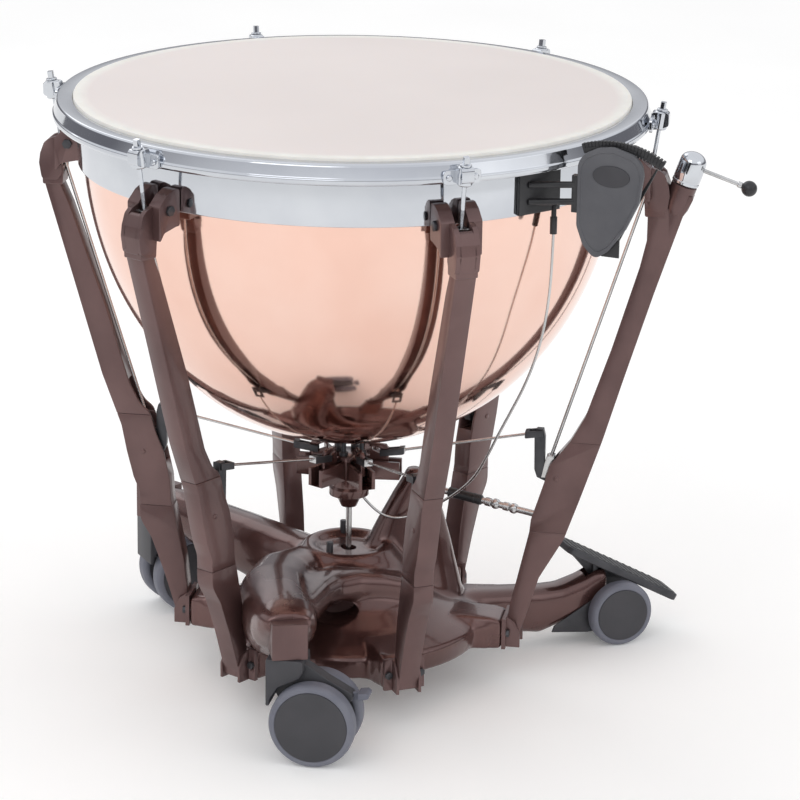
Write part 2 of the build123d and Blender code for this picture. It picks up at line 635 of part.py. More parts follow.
def gauge_bracket():
    """A foot on the ring, two bars to a flange on the shield's edge, and the cable's clamp."""
    face = RING_RADIUS + 0.4
    foot = slab([(face, 800), (face + 5.6, 800), (face + 5.6, 856), (face, 856)], CLAMP_ANGLE, -56, 16)
    flange = gauge_plane(0).location * (Pos(-47, 4, 0.8) * Box(8, 52, 10.4))
    body = foot + flange
    for height in (818, 842):
        low = at(face + 5, CLAMP_ANGLE, height)
        end = (gauge_plane(0.8) * Pos(-47, height - GAUGE_CENTRE[2], 0)).position
        body += bar(low, (end.X, end.Y, height), 4.6)
    for low, high, radius in ((766, 790, 5), (790, 806, 3.6)):
        bottom, top = (at(face + 5.2, CLAMP_ANGLE, height, CLAMP_ASIDE) for height in (low, high))
        body += bar(bottom, top, radius)
    return body


def gauge_cable():
    radii = []
    for i in range(1, len(CABLE_ROUTE) - 1):
        a, b, c = (Vector(*CABLE_ROUTE[i + k]) for k in (-1, 0, 1))
        turn = math.radians((b - a).get_angle(c - b))
        run = min((b - a).length, (c - b).length)
        radii.append(0.45 * run / math.tan(turn / 2))
    path = FilletPolyline(*CABLE_ROUTE, radius=radii)
    start = Plane(origin=path @ 0, z_dir=path % 0)
    tube = sweep(start * Circle(CABLE_RADIUS), path)
    share = tube.volume / (math.pi * CABLE_RADIUS**2 * path.length)
    print("cable radii", [round(r) for r in radii])
    print("cable length", round(path.length), "volume share", round(share, 4))
    return tube


def tuner_shaft():
    return bar(place(tuner_point(286), TUNER_ANGLE), place(tuner_point(797), TUNER_ANGLE), PIVOT_RADIUS)


def tuner_handle():
    """Domed cap on the strut's boss, with a crank arm and a ball."""
    low, mid, top = (place(tuner_point(h), TUNER_ANGLE) for h in (787, 820, 833))
    cap = bar(low, mid, 20, 19) + bar(mid, top, 19, 12)
    arm = bar(place(tuner_point(813), TUNER_ANGLE), at(570, TUNER_ANGLE, 787.5), 3)
    ball = Pos(*at(579, TUNER_ANGLE, 784)) * Sphere(11.5)
    return cap + arm + ball - tuner_shaft()


def cross_shaft():
    shaft = bar(CROSS_START, CROSS_END, 5.0)
    for share in (0.22, 0.38):
        shaft += Pos(*along(CROSS_START, CROSS_END, share)) * Sphere(8.0)
    shaft += bar(along(CROSS_START, CROSS_END, 0.5), along(CROSS_START, CROSS_END, 0.8), 7.5)
    return shaft


def build():
    bolts, studs, brackets = frame_bolts(), hub_studs(), foot_brackets()
    parts = {
        "bowl": bowl() - studs,
        "suspension_ring": suspension_ring(),
        "drum_skin": drum_skin(),
        "flesh_hoop": flesh_hoop(),
        "counterhoop": counterhoop(),
        "hoop_lugs": hoop_lugs(),
        "tuner_strut": tuner_strut() - bolts,
        "base_casting": base_casting() - bolts,
        "hub_housing": hub_housing(),
        "hub_studs": studs,
        "foot_brackets": brackets - bolts,
        "frame_bolts": bolts,
        "pull_rod": pull_rod(),
        "base_crank": base_crank(),
        "pedal_link": pedal_link(),
        "pedal_lever": pedal_lever(),
        "pedal_board": pedal_board(),
        "wheel_bracket": wheel_bracket(),
        "gauge_shield": gauge_shield(),
        "gauge_dial": gauge_dial(),
        "gauge_pointer": gauge_pointer(),
        "gauge_bracket": gauge_bracket(),
        "gauge_cable": gauge_cable(),
        "tuner_shaft": tuner_shaft(),
        "tuner_handle": tuner_handle(),
        "cross_shaft": cross_shaft(),
    }
    struts = Part()
    for angle in STRUT_ANGLES:
        struts += strut(angle)
    parts["struts"] = struts - bolts
    for number, angle in enumerate(ALL_ANGLES, 1):
        parts[f"lever_{number}"] = lever(angle)
        parts[f"tension_rod_{number}"] = tension_rod(angle)
        parts[f"tie_rod_{number}"] = tie_rod(angle)
        parts[f"tension_screw_{number}"] = tension_screw(angle)
    for name in SWIVEL_POINTS:
        parts[f"{name}_caster_fork"] = caster_fork(name)
        parts[f"{name}_caster_wheels"] = caster_wheels(name)
        parts[f"{name}_caster_brake"] = caster_brake(name)
    for name, side in (("left", -1), ("right", 1)):
        parts[f"pedal_wheel_{name}"] = small_wheel(side)
    return parts


os.makedirs("parts", exist_ok=True)
for node, shape in build().items():
    export_step(shape, f"parts/{node}.step")
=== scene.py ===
import math

import bmesh
import bpy
from mathutils import Matrix, Vector


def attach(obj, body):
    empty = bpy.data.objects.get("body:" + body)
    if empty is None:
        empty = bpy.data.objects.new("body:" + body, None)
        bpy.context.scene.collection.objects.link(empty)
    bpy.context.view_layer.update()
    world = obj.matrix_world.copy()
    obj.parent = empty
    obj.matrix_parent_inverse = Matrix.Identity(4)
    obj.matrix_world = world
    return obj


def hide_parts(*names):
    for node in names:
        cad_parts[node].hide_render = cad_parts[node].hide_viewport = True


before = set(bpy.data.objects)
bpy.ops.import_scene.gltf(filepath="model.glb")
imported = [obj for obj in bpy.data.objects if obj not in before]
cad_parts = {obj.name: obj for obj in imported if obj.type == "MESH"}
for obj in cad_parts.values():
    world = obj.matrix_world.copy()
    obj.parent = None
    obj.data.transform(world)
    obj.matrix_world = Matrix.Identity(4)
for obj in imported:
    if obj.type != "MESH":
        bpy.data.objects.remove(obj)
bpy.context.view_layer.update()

# A 32-inch pedal timpano. Outlines are in millimetres, and every mesh is written in metres.
# The player and the pedal are on the -Y side. Angles are degrees from +X, anticlockwise from above.

MM = 0.001

# Head, hoop, ring and kettle
HOOP_RADIUS = 433.0
HOOP_INNER = 405.3
HOOP_BOTTOM = 864.0
HOOP_TOP = 892.0
HEAD_TOP = 896.0
LIP_RADIUS = 403.5
RING_RADIUS = 399.0
RING_BOTTOM = 798.0
RING_TOP = 864.0
KETTLE_RADIUS = 394.6
KETTLE_SHOULDER = 866.0
KETTLE_BOTTOM = 379.0
KETTLE_WALL = 3.0
KETTLE_POWER = 2.1
VENT_RADIUS = 12.0
THREAD_PITCH = 0.9
THREAD_TURNS = 40

# Struts and the parts on them, as (radius, height) in each strut's plane
STRUT_ANGLES = [180.0, 120.0, 60.0, 0.0, -60.0]
TUNER_ANGLE = -120.0
ALL_ANGLES = STRUT_ANGLES + [TUNER_ANGLE]
STRUT_HALF = 15.0
FOOT_INNER = 246.0
FOOT_OUTER = 262.0
FOOT_BOTTOM = 64.0
SEAMS = (245.0, 388.0)
SEAM_GAP = 0.3
LEVER_PIVOT = (314.0, 330.0)
SCREW_TOP = (450.5, 893.0)
SCREW_SLOPE = 0.1433
TUNER_FOOT = (313.0, 275.0)
TUNER_HEAD = (490.0, 797.0)
CROSS_START = (-144.0, -249.4, 267.0)
CROSS_END = (-12.0, -120.0, 283.0)
CAP_RADIUS = 20.0
CROWN_BOTTOM = 304.0
TIE_ROD_BARE = (84.0, 262.0)

# Base, casters, small wheels and pedal
SWIVEL_POINTS = {"front": (-288.0, 193.0), "rear": (334.0, 198.0)}
SWIVEL_TRAILS = {"front": -121.0, "rear": -84.0}
CASTER_TRAIL = 42.0
CASTER_RADIUS = 62.5
CASTER_TOP = 155.0
BLOCK_TOP = 208.0
BLOCK_HALF = 26.0
BLOCK_TURNS = {"front": 168.0, "rear": 30.7}
WHEEL_INNER = 14.0
WHEEL_OUTER = 44.0
SMALL_RADIUS = 51.0
SMALL_AXLE = (434.0, 51.0)
SMALL_INNER = 28.4
SMALL_OUTER = 54.0
BOARD_TOE = (352.0, 168.0)
BOARD_HEEL = (540.0, 65.0)
BOARD_THICK = 10.0
BOARD_HALF = 36.0
BOARD_RIBS = 15
FLOOR_BOTTOM = 58.0
CHANNEL_HALF = 14.0
ROD_HOLE = 12.0
SHAFT_HOLE = 6.0
OPENING_MOUTH = (-142.0, 78.0, 143.0)
OPENING_WAY = (0.91, -0.38, -0.12)

# Tuning gauge
GAUGE_CENTRE = (-438.0, -214.0, 826.0)
GAUGE_FACING = 135.0
POINTER_PIVOT = (5.0, -66.0)
SCALE_RADIUS = 146.0
NOTE_MARKERS = 24
CABLE_RADIUS = 2.0
CABLE_ROUTE = [
    (-373.5, -162.3, 765.6),
    (-372.0, -162.0, 716.0),
    (-366.0, -161.0, 664.0),
    (-352.0, -159.0, 612.0),
    (-328.0, -157.0, 564.0),
    (-297.0, -154.0, 517.0),
    (-263.0, -150.0, 473.0),
    (-229.0, -145.0, 428.0),
    (-195.0, -142.0, 383.0),
    (-157.0, -139.0, 341.0),
    (-112.0, -132.0, 305.0),
    (-68.0, -121.0, 275.0),
    (-39.0, -97.0, 250.0),
    (-24.0, -64.0, 240.0),
    (-15.0, -35.0, 254.0),
    (-10.0, -18.0, 277.6),
]

# Studio, in metres, and camera, with angles in radians but for its turn in degrees
FLOOR_HALF = 12.0
LIGHT_AIM = (0.0, 0.0, 0.5)
CAMERA_PLACE = (-4.6861, 1.6800, 2.0121)
CAMERA_TURN = -109.723
CAMERA_YAW = 0.015
CAMERA_PITCH = 0.308
CAMERA_ROLL = 0.014
CAMERA_LENS = 157.7


# ---------------------------------------------------------------- places and planes

def at(radius, angle, height, aside=0.0):
    """A point in millimetres, moved aside along the anticlockwise tangent."""
    a = math.radians(angle)
    x = radius * math.cos(a) - aside * math.sin(a)
    y = radius * math.sin(a) + aside * math.cos(a)
    return Vector((x, y, height))


def plane(origin, x_dir, z_dir):
    """A matrix whose local x, y and z are x_dir, z_dir cross x_dir and z_dir."""
    x, z = Vector(x_dir).normalized(), Vector(z_dir).normalized()
    m = Matrix((x, z.cross(x), z)).transposed().to_4x4()
    m.translation = Vector(origin)
    return m


def radial(angle):
    """The upright plane through the drum's axis: x is the radius and y is the height."""
    a = math.radians(angle)
    return plane((0, 0, 0), (math.cos(a), math.sin(a), 0), (math.sin(a), -math.cos(a), 0))


def facing(start, end):
    """A matrix at start whose z points to end."""
    z = (Vector(end) - Vector(start)).normalized()
    side = Vector((0, 0, 1)) if abs(z.z) < 0.9 else Vector((1, 0, 0))
    return plane(start, side.cross(z), z)


def caster_plane(name):
    """A caster's upright plane: x runs along its trail and y is the height."""
    x, y = SWIVEL_POINTS[name]
    a = math.radians(SWIVEL_TRAILS[name])
    return plane((x, y, 0), (math.cos(a), math.sin(a), 0), (math.sin(a), -math.cos(a), 0))


def gauge_plane():
    """The gauge's plane: x runs across the shield, y upwards and z out of its face."""
    a = math.radians(GAUGE_FACING)
    return plane(GAUGE_CENTRE, (-math.sin(a), math.cos(a), 0), (math.cos(a), math.sin(a), 0))


def screw_point(height, angle):
    return at(SCREW_TOP[0] - SCREW_SLOPE * (SCREW_TOP[1] - height), angle, height)


def tuner_point(height):
    share = (height - TUNER_FOOT[1]) / (TUNER_HEAD[1] - TUNER_FOOT[1])
    return at(TUNER_FOOT[0] + share * (TUNER_HEAD[0] - TUNER_FOOT[0]), TUNER_ANGLE, height)


# ---------------------------------------------------------------- outlines

def rounded(outline, radius, steps=5):
    """The closed outline with each corner turned into an arc, as far as its sides allow."""
    points = [Vector(p) for p in outline]
    result = []
    for i, here in enumerate(points):
        before, after = points[i - 1], points[(i + 1) % len(points)]
        a, b = (before - here), (after - here)
        half = a.angle(b) / 2
        reach = min(radius / max(math.tan(half), 1e-3), a.length * 0.48, b.length * 0.48)
        start, end = here + a.normalized() * reach, here + b.normalized() * reach
        for k in range(steps + 1):
            t = k / steps
            result.append(start.lerp(here, t).lerp(here.lerp(end, t), t))
    return result


def clipped(outline, low, high):
    """The part of a closed outline between two heights."""
    points = [Vector(p) for p in outline]
    for limit, sign in ((low, 1), (high, -1)):
        kept = []
        for i, here in enumerate(points):
            before = points[i - 1]
            inside, was = (here.y - limit) * sign >= 0, (before.y - limit) * sign >= 0
            if inside != was:
                kept.append(before.lerp(here, (limit - before.y) / (here.y - before.y)))
            if inside:
                kept.append(here)
        points = kept
    return points


# ---------------------------------------------------------------- mesh building

def prism(bm, outline, matrix, low, high):
    """A plate with a closed outline in the matrix's x and y, from low to high along its z."""
    rings = []
    for depth in (low, high):
        rings.append([bm.verts.new(matrix @ Vector((p[0], p[1], depth)) * MM) for p in outline])
    bm.faces.new(rings[0][::-1])
    bm.faces.new(rings[1])
    for i in range(len(outline)):
        bm.faces.new((rings[0][i - 1], rings[0][i], rings[1][i], rings[1][i - 1]))


def skin_rings(bm, rings, closed):
    """Faces between following rings of vertices; a ring of one vertex is a tip."""
    pairs = list(zip(rings, rings[1:] + rings[:1])) if closed else list(zip(rings, rings[1:]))
    for a, b in pairs:
        count = max(len(a), len(b))
        if count == 1:
            continue
        for i in range(count):
            corner = [a[i - 1], a[i], b[i], b[i - 1]] if len(a) == len(b) else (
                [a[0], b[i], b[i - 1]] if len(a) == 1 else [a[i - 1], a[i], b[0]])
            bm.faces.new(corner)


def lathe(bm, outline, matrix=Matrix(), segments=128):
    """A closed outline of (radius, height) points turned about the matrix's z."""
    turns = [2 * math.pi * i / segments for i in range(segments)]
    rings = []
    for r, z in outline:
        ring = [Vector((r * math.cos(t), r * math.sin(t), z)) for t in turns]
        if r < 1e-4:
            ring = [Vector((0, 0, z))]
        rings.append([bm.verts.new(matrix @ place * MM) for place in ring])
    skin_rings(bm, rings, True)


def tube(bm, start, end, radius, segments=24, edge=0.6):
    """A round bar with slightly broken ends."""
    length = (Vector(end) - Vector(start)).length
    outline = [(0, 0), (radius - edge, 0), (radius, edge), (radius, length - edge),
               (radius - edge, length), (0, length)]
    lathe(bm, outline, facing(start, end), segments)


def loft(bm, stations, sides=32, power=2.4):
    """A limb through stations of (centre, along, half width, half height), closed at both ends."""
    rings = []
    for centre, way, half_width, half_height in stations:
        along = Vector(way).normalized()
        across = Vector((0, 0, 1)).cross(along).normalized()
        up = along.cross(across)
        ring = []
        for k in range(sides):
            c, s = math.cos(2 * math.pi * k / sides), math.sin(2 * math.pi * k / sides)
            u = half_width * math.copysign(abs(c) ** (2 / power), c)
            v = half_height * math.copysign(abs(s) ** (2 / power), s)
            ring.append(bm.verts.new((Vector(centre) + across * u + up * v) * MM))
        rings.append(ring)
    skin_rings(bm, rings, False)
    bm.faces.new(rings[0][::-1])
    bm.faces.new(rings[-1])


def ball(bm, centre, radius, segments=32):
    turns = [math.pi * i / 16 - math.pi / 2 for i in range(17)]
    outline = [(max(radius * math.cos(t), 0), radius * math.sin(t)) for t in turns]
    outline[0], outline[-1] = (0, -radius), (0, radius)
    lathe(bm, outline, Matrix.Translation(Vector(centre)), segments)


def to_object(name, bm):
    bmesh.ops.recalc_face_normals(bm, faces=bm.faces)
    mesh = bpy.data.meshes.new(name)
    bm.to_mesh(mesh)
    bm.free()
    obj = bpy.data.objects.new(name, mesh)
    bpy.context.scene.collection.objects.link(obj)
    return obj


def baked(obj):
    """Applies the object's modifiers to its mesh."""
    graph = bpy.context.evaluated_depsgraph_get()
    mesh = bpy.data.meshes.new_from_object(obj.evaluated_get(graph))
    obj.modifiers.clear()
    obj.data = mesh
    return obj


def cut_out(obj, bm):
    """Cuts the closed mesh in bm out of obj."""
    tool = to_object("tool", bm)
    cut = obj.modifiers.new("cut", "BOOLEAN")
    cut.operation = "DIFFERENCE"
    cut.object = tool
    cut.solver = "EXACT"
    cut.use_self = True
    baked(obj)
    bpy.data.objects.remove(tool)


def merge(obj, other):
    """Adds the other object's mesh to obj's as it is, and removes the other."""
    both = bmesh.new()
    both.from_mesh(obj.data)
    both.from_mesh(other.data)
    both.to_mesh(obj.data)
    both.free()
    bpy.data.objects.remove(other)


def soften(obj, width, segments=2, angle=32.0):
    """Breaks the sharp edges of obj and shades it smooth."""
    if width:
        bevel = obj.modifiers.new("edges", "BEVEL")
        bevel.width = width * MM
        bevel.segments = segments
        bevel.limit_method = "ANGLE"
        bevel.angle_limit = math.radians(angle)
        bevel.harden_normals = True
    obj.data.shade_smooth()
    obj.data.set_sharp_from_angle(angle=math.radians(40))
    return obj


def settle(obj, body, material, nodes=()):
    """Gives a finished piece its material, its body and the nodes that it stands for."""
    obj.data.materials.clear()
    obj.data.materials.append(material)
    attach(obj, body)
    if nodes:
        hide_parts(*nodes)


def dress(node, material, width=0.0, segments=2, other=None, where=None):
    """A carried-over CAD node: its material, another on the faces that where picks, and softer edges."""
    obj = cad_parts[node]
    obj.data.materials.clear()
    obj.data.materials.append(material)
    if other:
        obj.data.materials.append(other)
        for face in obj.data.polygons:
            radius, height = face.center.xy.length / MM, face.center.z / MM
            face.material_index = int(where(radius, height))
    if width:
        weld = obj.modifiers.new("weld", "WELD")
        weld.merge_threshold = 0.00001
        flat = obj.modifiers.new("flat", "DECIMATE")
        flat.decimate_type = "DISSOLVE"
        flat.angle_limit = math.radians(1.5)
        bevel = obj.modifiers.new("edges", "BEVEL")
        bevel.width = width * MM
        bevel.segments = segments
        bevel.limit_method = "ANGLE"
        bevel.angle_limit = math.radians(35)
        bevel.harden_normals = True
        obj.data.shade_smooth()


# ---------------------------------------------------------------- materials

def noise_node(tree, scale, detail, coordinates):
    node = tree.nodes.new("ShaderNodeTexNoise")
    node.inputs["Scale"].default_value = scale
    node.inputs["Detail"].default_value = detail
    tree.links.new(coordinates, node.inputs["Vector"])
    return node.outputs["Fac"]


def ramp_node(tree, source, low, high, start=0.35, end=0.65):
    node = tree.nodes.new("ShaderNodeValToRGB")
    node.color_ramp.elements[0].position = start
    node.color_ramp.elements[0].color = (*low, 1)
    node.color_ramp.elements[1].position = end
    node.color_ramp.elements[1].color = (*high, 1)
    tree.links.new(source, node.inputs["Fac"])
    return node.outputs["Color"]


def range_node(tree, source, low, high):
    node = tree.nodes.new("ShaderNodeMapRange")
    node.inputs["To Min"].default_value = low
    node.inputs["To Max"].default_value = high
    tree.links.new(source, node.inputs["Value"])
    return node.outputs["Result"]


def bump_node(tree, source, strength, depth):
    node = tree.nodes.new("ShaderNodeBump")
    node.inputs["Strength"].default_value = strength
    node.inputs["Distance"].default_value = depth * MM
    tree.links.new(source, node.inputs["Height"])
    return node.outputs["Normal"]


def surface(name, low, high, metallic, rough, cloud=9.0, grain=900.0, depth=0.05, coat=0.0, cells=0.0):
    """Two shades in soft clouds, roughness that varies with them, and a fine grain or hammered cells."""
    material = bpy.data.materials.new(name)
    material.use_nodes = True
    tree = material.node_tree
    shader = tree.nodes["Principled BSDF"]
    coordinates = tree.nodes.new("ShaderNodeTexCoord").outputs["Object"]
    clouds = noise_node(tree, cloud, 4.0, coordinates)
    tree.links.new(ramp_node(tree, clouds, low, high), shader.inputs["Base Color"])
    tree.links.new(range_node(tree, clouds, rough[0], rough[1]), shader.inputs["Roughness"])
    height = noise_node(tree, grain, 3.0, coordinates)
    if cells:
        pits = tree.nodes.new("ShaderNodeTexVoronoi")
        pits.feature = "SMOOTH_F1"
        pits.inputs["Scale"].default_value = cells
        tree.links.new(coordinates, pits.inputs["Vector"])
        height = pits.outputs["Distance"]
    tree.links.new(bump_node(tree, height, 0.5, depth), shader.inputs["Normal"])
    shader.inputs["Metallic"].default_value = metallic
    if coat:
        shader.inputs["Coat Weight"].default_value = coat
        shader.inputs["Coat Roughness"].default_value = 0.08
    return material


def skin_surface():
    """Translucent white film, paler where it turns over the kettle's lip."""
    material = surface("skin", (0.76, 0.69, 0.67), (0.79, 0.72, 0.70), 0.0, (0.42, 0.52), 3.0, 1400.0, 0.03)
    tree = material.node_tree
    shader = tree.nodes["Principled BSDF"]
    coordinates = tree.nodes.new("ShaderNodeTexCoord").outputs["Object"]
    flat = tree.nodes.new("ShaderNodeVectorMath")
    flat.operation = "MULTIPLY"
    flat.inputs[1].default_value = (1, 1, 0)
    tree.links.new(coordinates, flat.inputs[0])
    reach = tree.nodes.new("ShaderNodeVectorMath")
    reach.operation = "LENGTH"
    tree.links.new(flat.outputs["Vector"], reach.inputs[0])
    rim = tree.nodes.new("ShaderNodeMapRange")
    rim.inputs["From Min"].default_value = (LIP_RADIUS - 22) * MM
    rim.inputs["From Max"].default_value = (LIP_RADIUS - 8) * MM
    tree.links.new(reach.outputs["Value"], rim.inputs["Value"])
    mix = tree.nodes.new("ShaderNodeMix")
    mix.data_type = "RGBA"
    tree.links.new(rim.outputs["Result"], mix.inputs["Factor"])
    centre = shader.inputs["Base Color"].links[0].from_socket
    tree.links.new(centre, mix.inputs["A"])
    edge = ramp_node(tree, noise_node(tree, 30.0, 2.0, coordinates), (0.80, 0.78, 0.74), (0.85, 0.83, 0.79))
    tree.links.new(edge, mix.inputs["B"])
    tree.links.new(mix.outputs["Result"], shader.inputs["Base Color"])
    shader.inputs["Subsurface Weight"].default_value = 0.15
    shader.inputs["Subsurface Radius"].default_value = (0.01, 0.008, 0.006)
    return material


SKIN = skin_surface()
COPPER = surface("copper", (0.87, 0.575, 0.475), (0.91, 0.645, 0.55), 1.0, (0.05, 0.12), 5.0, 260.0, 0.02)
CHROME = surface("chrome", (0.55, 0.57, 0.61), (0.63, 0.65, 0.68), 1.0, (0.04, 0.10), 7.0, 400.0, 0.01)
HAMMERED = surface("hammered_brown", (0.110, 0.062, 0.060), (0.156, 0.091, 0.087), 0.55, (0.30, 0.46),
                   8.0, 900.0, 0.16, 0.25, 420.0)
GLOSSY = surface("glossy_brown", (0.085, 0.038, 0.034), (0.140, 0.070, 0.064), 0.60, (0.20, 0.34),
                 6.0, 700.0, 0.10, 0.55, 320.0)
DARK_STEEL = surface("dark_steel", (0.055, 0.056, 0.062), (0.085, 0.085, 0.092), 0.7, (0.34, 0.50), 25.0)
STEEL = surface("steel", (0.50, 0.50, 0.50), (0.62, 0.62, 0.62), 1.0, (0.18, 0.32), 30.0)
BLACK = surface("black_plastic", (0.012, 0.012, 0.014), (0.024, 0.024, 0.027), 0.0, (0.30, 0.45), 30.0)
SHIELD = surface("shield_plastic", (0.080, 0.081, 0.092), (0.100, 0.101, 0.112), 0.0, (0.46, 0.58),
                 20.0, 1600.0, 0.08)
# Painted shade: the caster wheels' faces are dark from shade, and that darkness is put into this near-black
# colour; the caster housings and the gauge badge share it.
DISC_PAINTED_SHADE = surface("wheel_disc_painted_shade", (0.036, 0.036, 0.042), (0.047, 0.046, 0.053), 0.0, (0.42, 0.54),
               20.0, 1500.0, 0.06)
TREAD = surface("wheel_tread", (0.130, 0.135, 0.170), (0.165, 0.170, 0.205), 0.0, (0.50, 0.62),
                24.0, 1300.0, 0.08)
RUBBER = surface("pedal_rubber", (0.060, 0.062, 0.066), (0.085, 0.087, 0.092), 0.0, (0.55, 0.70),
                 30.0, 1200.0, 0.12)
POINTER = surface("pointer", (0.020, 0.020, 0.022), (0.034, 0.034, 0.036), 0.0, (0.35, 0.45), 30.0)


# ---------------------------------------------------------------- head, hoop, ring and kettle

def kettle_side(radius, bottom, steps):
    """The kettle's rounded profile from the vent's edge to the shoulder."""
    points = []
    for i in range(steps):
        turn = math.radians(90.0 * i / steps)
        r = radius * math.sin(turn) ** (2 / KETTLE_POWER)
        z = KETTLE_SHOULDER - (KETTLE_SHOULDER - bottom) * math.cos(turn) ** (2 / KETTLE_POWER)
        if r > VENT_RADIUS:
            points.append((r, z))
    return [(VENT_RADIUS, bottom)] + points


def kettle():
    shoulder = KETTLE_SHOULDER
    outside = [(KETTLE_RADIUS, shoulder), (400, shoulder + 5), (402.6, shoulder + 11), (LIP_RADIUS, 888),
               (LIP_RADIUS - 0.4, 893.5), (401.6, 894.7)]
    inside = [(398.8, 894.7), (397.6, 888), (397.6, shoulder + 12), (KETTLE_RADIUS - KETTLE_WALL, shoulder)]
    outer = kettle_side(KETTLE_RADIUS, KETTLE_BOTTOM, 72)
    inner = kettle_side(KETTLE_RADIUS - KETTLE_WALL, KETTLE_BOTTOM + KETTLE_WALL, 72)
    bm = bmesh.new()
    lathe(bm, outer + outside + inside + inner[::-1], segments=192)
    settle(soften(to_object("kettle", bm), 0), "stand", COPPER, ["bowl"])


def ring_band():
    inner = KETTLE_RADIUS + 0.3
    band = [(inner, RING_BOTTOM), (RING_RADIUS, RING_BOTTOM), (RING_RADIUS, RING_TOP), (inner, RING_TOP)]
    bm = bmesh.new()
    lathe(bm, rounded(band, 1.6, 3), segments=192)
    settle(soften(to_object("ring_band", bm), 0), "stand", CHROME, ["suspension_ring"])


def hoop_band():
    """Counterhoop: flat top flange, upright front and a rolled bead at its lower edge."""
    r, top = HOOP_RADIUS, HOOP_TOP
    low = HOOP_BOTTOM
    section = [(HOOP_INNER, top - 3), (HOOP_INNER, top), (r - 6, top), (r - 4.4, top - 2.5),
               (r - 0.6, low + 10.5), (r + 1.4, low + 8.5), (r + 1.4, low + 3.5), (r - 1, low),
               (r - 4, low), (r - 6, top - 3)]
    bm = bmesh.new()
    lathe(bm, rounded(section, 2.4, 4), segments=192)
    settle(soften(to_object("hoop_band", bm), 0), "hoop", CHROME, ["counterhoop"])


def head_film():
    """Film with a shallow collar crease, turned down over the kettle's lip."""
    rim, high = LIP_RADIUS + 0.3, HEAD_TOP
    top = [(0, high), (300, high), (386, high), (389, high - 0.25), (392, high)]
    shoulder = [(rim - 2.2, high), (rim - 0.2, high - 0.5), (rim + 0.8, high - 2.4), (rim + 0.8, high - 16)]
    under = [(rim, high - 16), (rim, high - 2.0), (rim - 2, high - 1), (0, high - 1)]
    bm = bmesh.new()
    lathe(bm, top + shoulder + under, segments=192)
    settle(soften(to_object("head_film", bm), 0), "stand", SKIN, ["drum_skin"])


def lugs():
    """T-shaped lugs: a plate with two screws, and a block with a boss for the tension screw."""
    face = HOOP_RADIUS + 1.3
    bm = bmesh.new()
    for angle in ALL_ANGLES:
        upright = plane((0, 0, 0), at(0, angle, 0, 1), at(1, angle, 0))
        plate = rounded([(-27, 864), (27, 864), (27, 884), (-27, 884)], 6)
        prism(bm, plate, upright, face, face + 4.5)
        side = rounded([(face + 1, 865), (449, 866), (461, 871), (461, 888), (457, 891), (437, 891),
                        (face + 1, 886)], 5)
        prism(bm, side, radial(angle), -9, 9)
        tube(bm, screw_point(865, angle), screw_point(891.4, angle), 10.5, 28, 1.6)
        for aside in (-19, 19):
            tube(bm, at(face + 4, angle, 874, aside), at(face + 7.6, angle, 874, aside), 4.4, 20, 1.2)
    settle(soften(to_object("lugs", bm), 1.0), "hoop", CHROME, ["hoop_lugs"])


def tension_screws():
    """Screws with a threaded end, a collar on the lug and a square top for the key."""
    for number, angle in enumerate(ALL_ANGLES, 1):
        low, high = screw_point(794, angle), screw_point(892, angle)
        length = (high - low).length
        thread = [(2.7 + 0.35 * (i % 2), 1 + i * THREAD_PITCH) for i in range(THREAD_TURNS)]
        shank = [(3.0, 1 + THREAD_TURNS * THREAD_PITCH), (3.0, length), (0, length)]
        bm = bmesh.new()
        lathe(bm, [(0, 0), (2.4, 0)] + thread + shank, facing(low, high), 20)
        tube(bm, screw_point(891.6, angle), screw_point(894.8, angle), 8.0, 28, 0.9)
        head = facing(screw_point(893, angle), screw_point(905, angle))
        square = rounded([(-4, -4), (4, -4), (4, 4), (-4, 4)], 1.0, 3)
        prism(bm, square, head @ Matrix.Rotation(math.radians(angle), 4, "Z"), 0, 12)
        screw = soften(to_object(f"tension_screw_piece_{number}", bm), 0.5)
        settle(screw, f"tension_screw_{number}", CHROME, [f"tension_screw_{number}"])


# ---------------------------------------------------------------- struts

def add_head(bm, angle):
    """Two ears that reach the ring, the walls and front of the rod's pocket, and the collar under it."""
    face = RING_RADIUS + 0.4
    ear = rounded([(face, 779), (407, 779), (430, 774), (440, 760), (440, 812), (425, 826), (412, 832),
                   (face, 832)], 7)
    wall = rounded([(432, 757), (438, 745), (463, 745), (467, 770), (465, 785), (459, 801), (452, 807),
                    (432, 814)], 8)
    front = rounded([(452, 745), (463, 745), (467, 770), (465, 785), (459, 800), (452, 804)], 4)
    collar = rounded([(432, 738), (462, 738), (463, 768), (430, 768)], 3)
    for side in (-1, 1):
        near, far = sorted((10.0 * side, 30.0 * side))
        prism(bm, ear, radial(angle), near, far)
        near, far = sorted((10.0 * side, 17.5 * side))
        prism(bm, wall, radial(angle), near, far)
    prism(bm, front, radial(angle), -12, 12)
    prism(bm, collar, radial(angle), -16, 16)


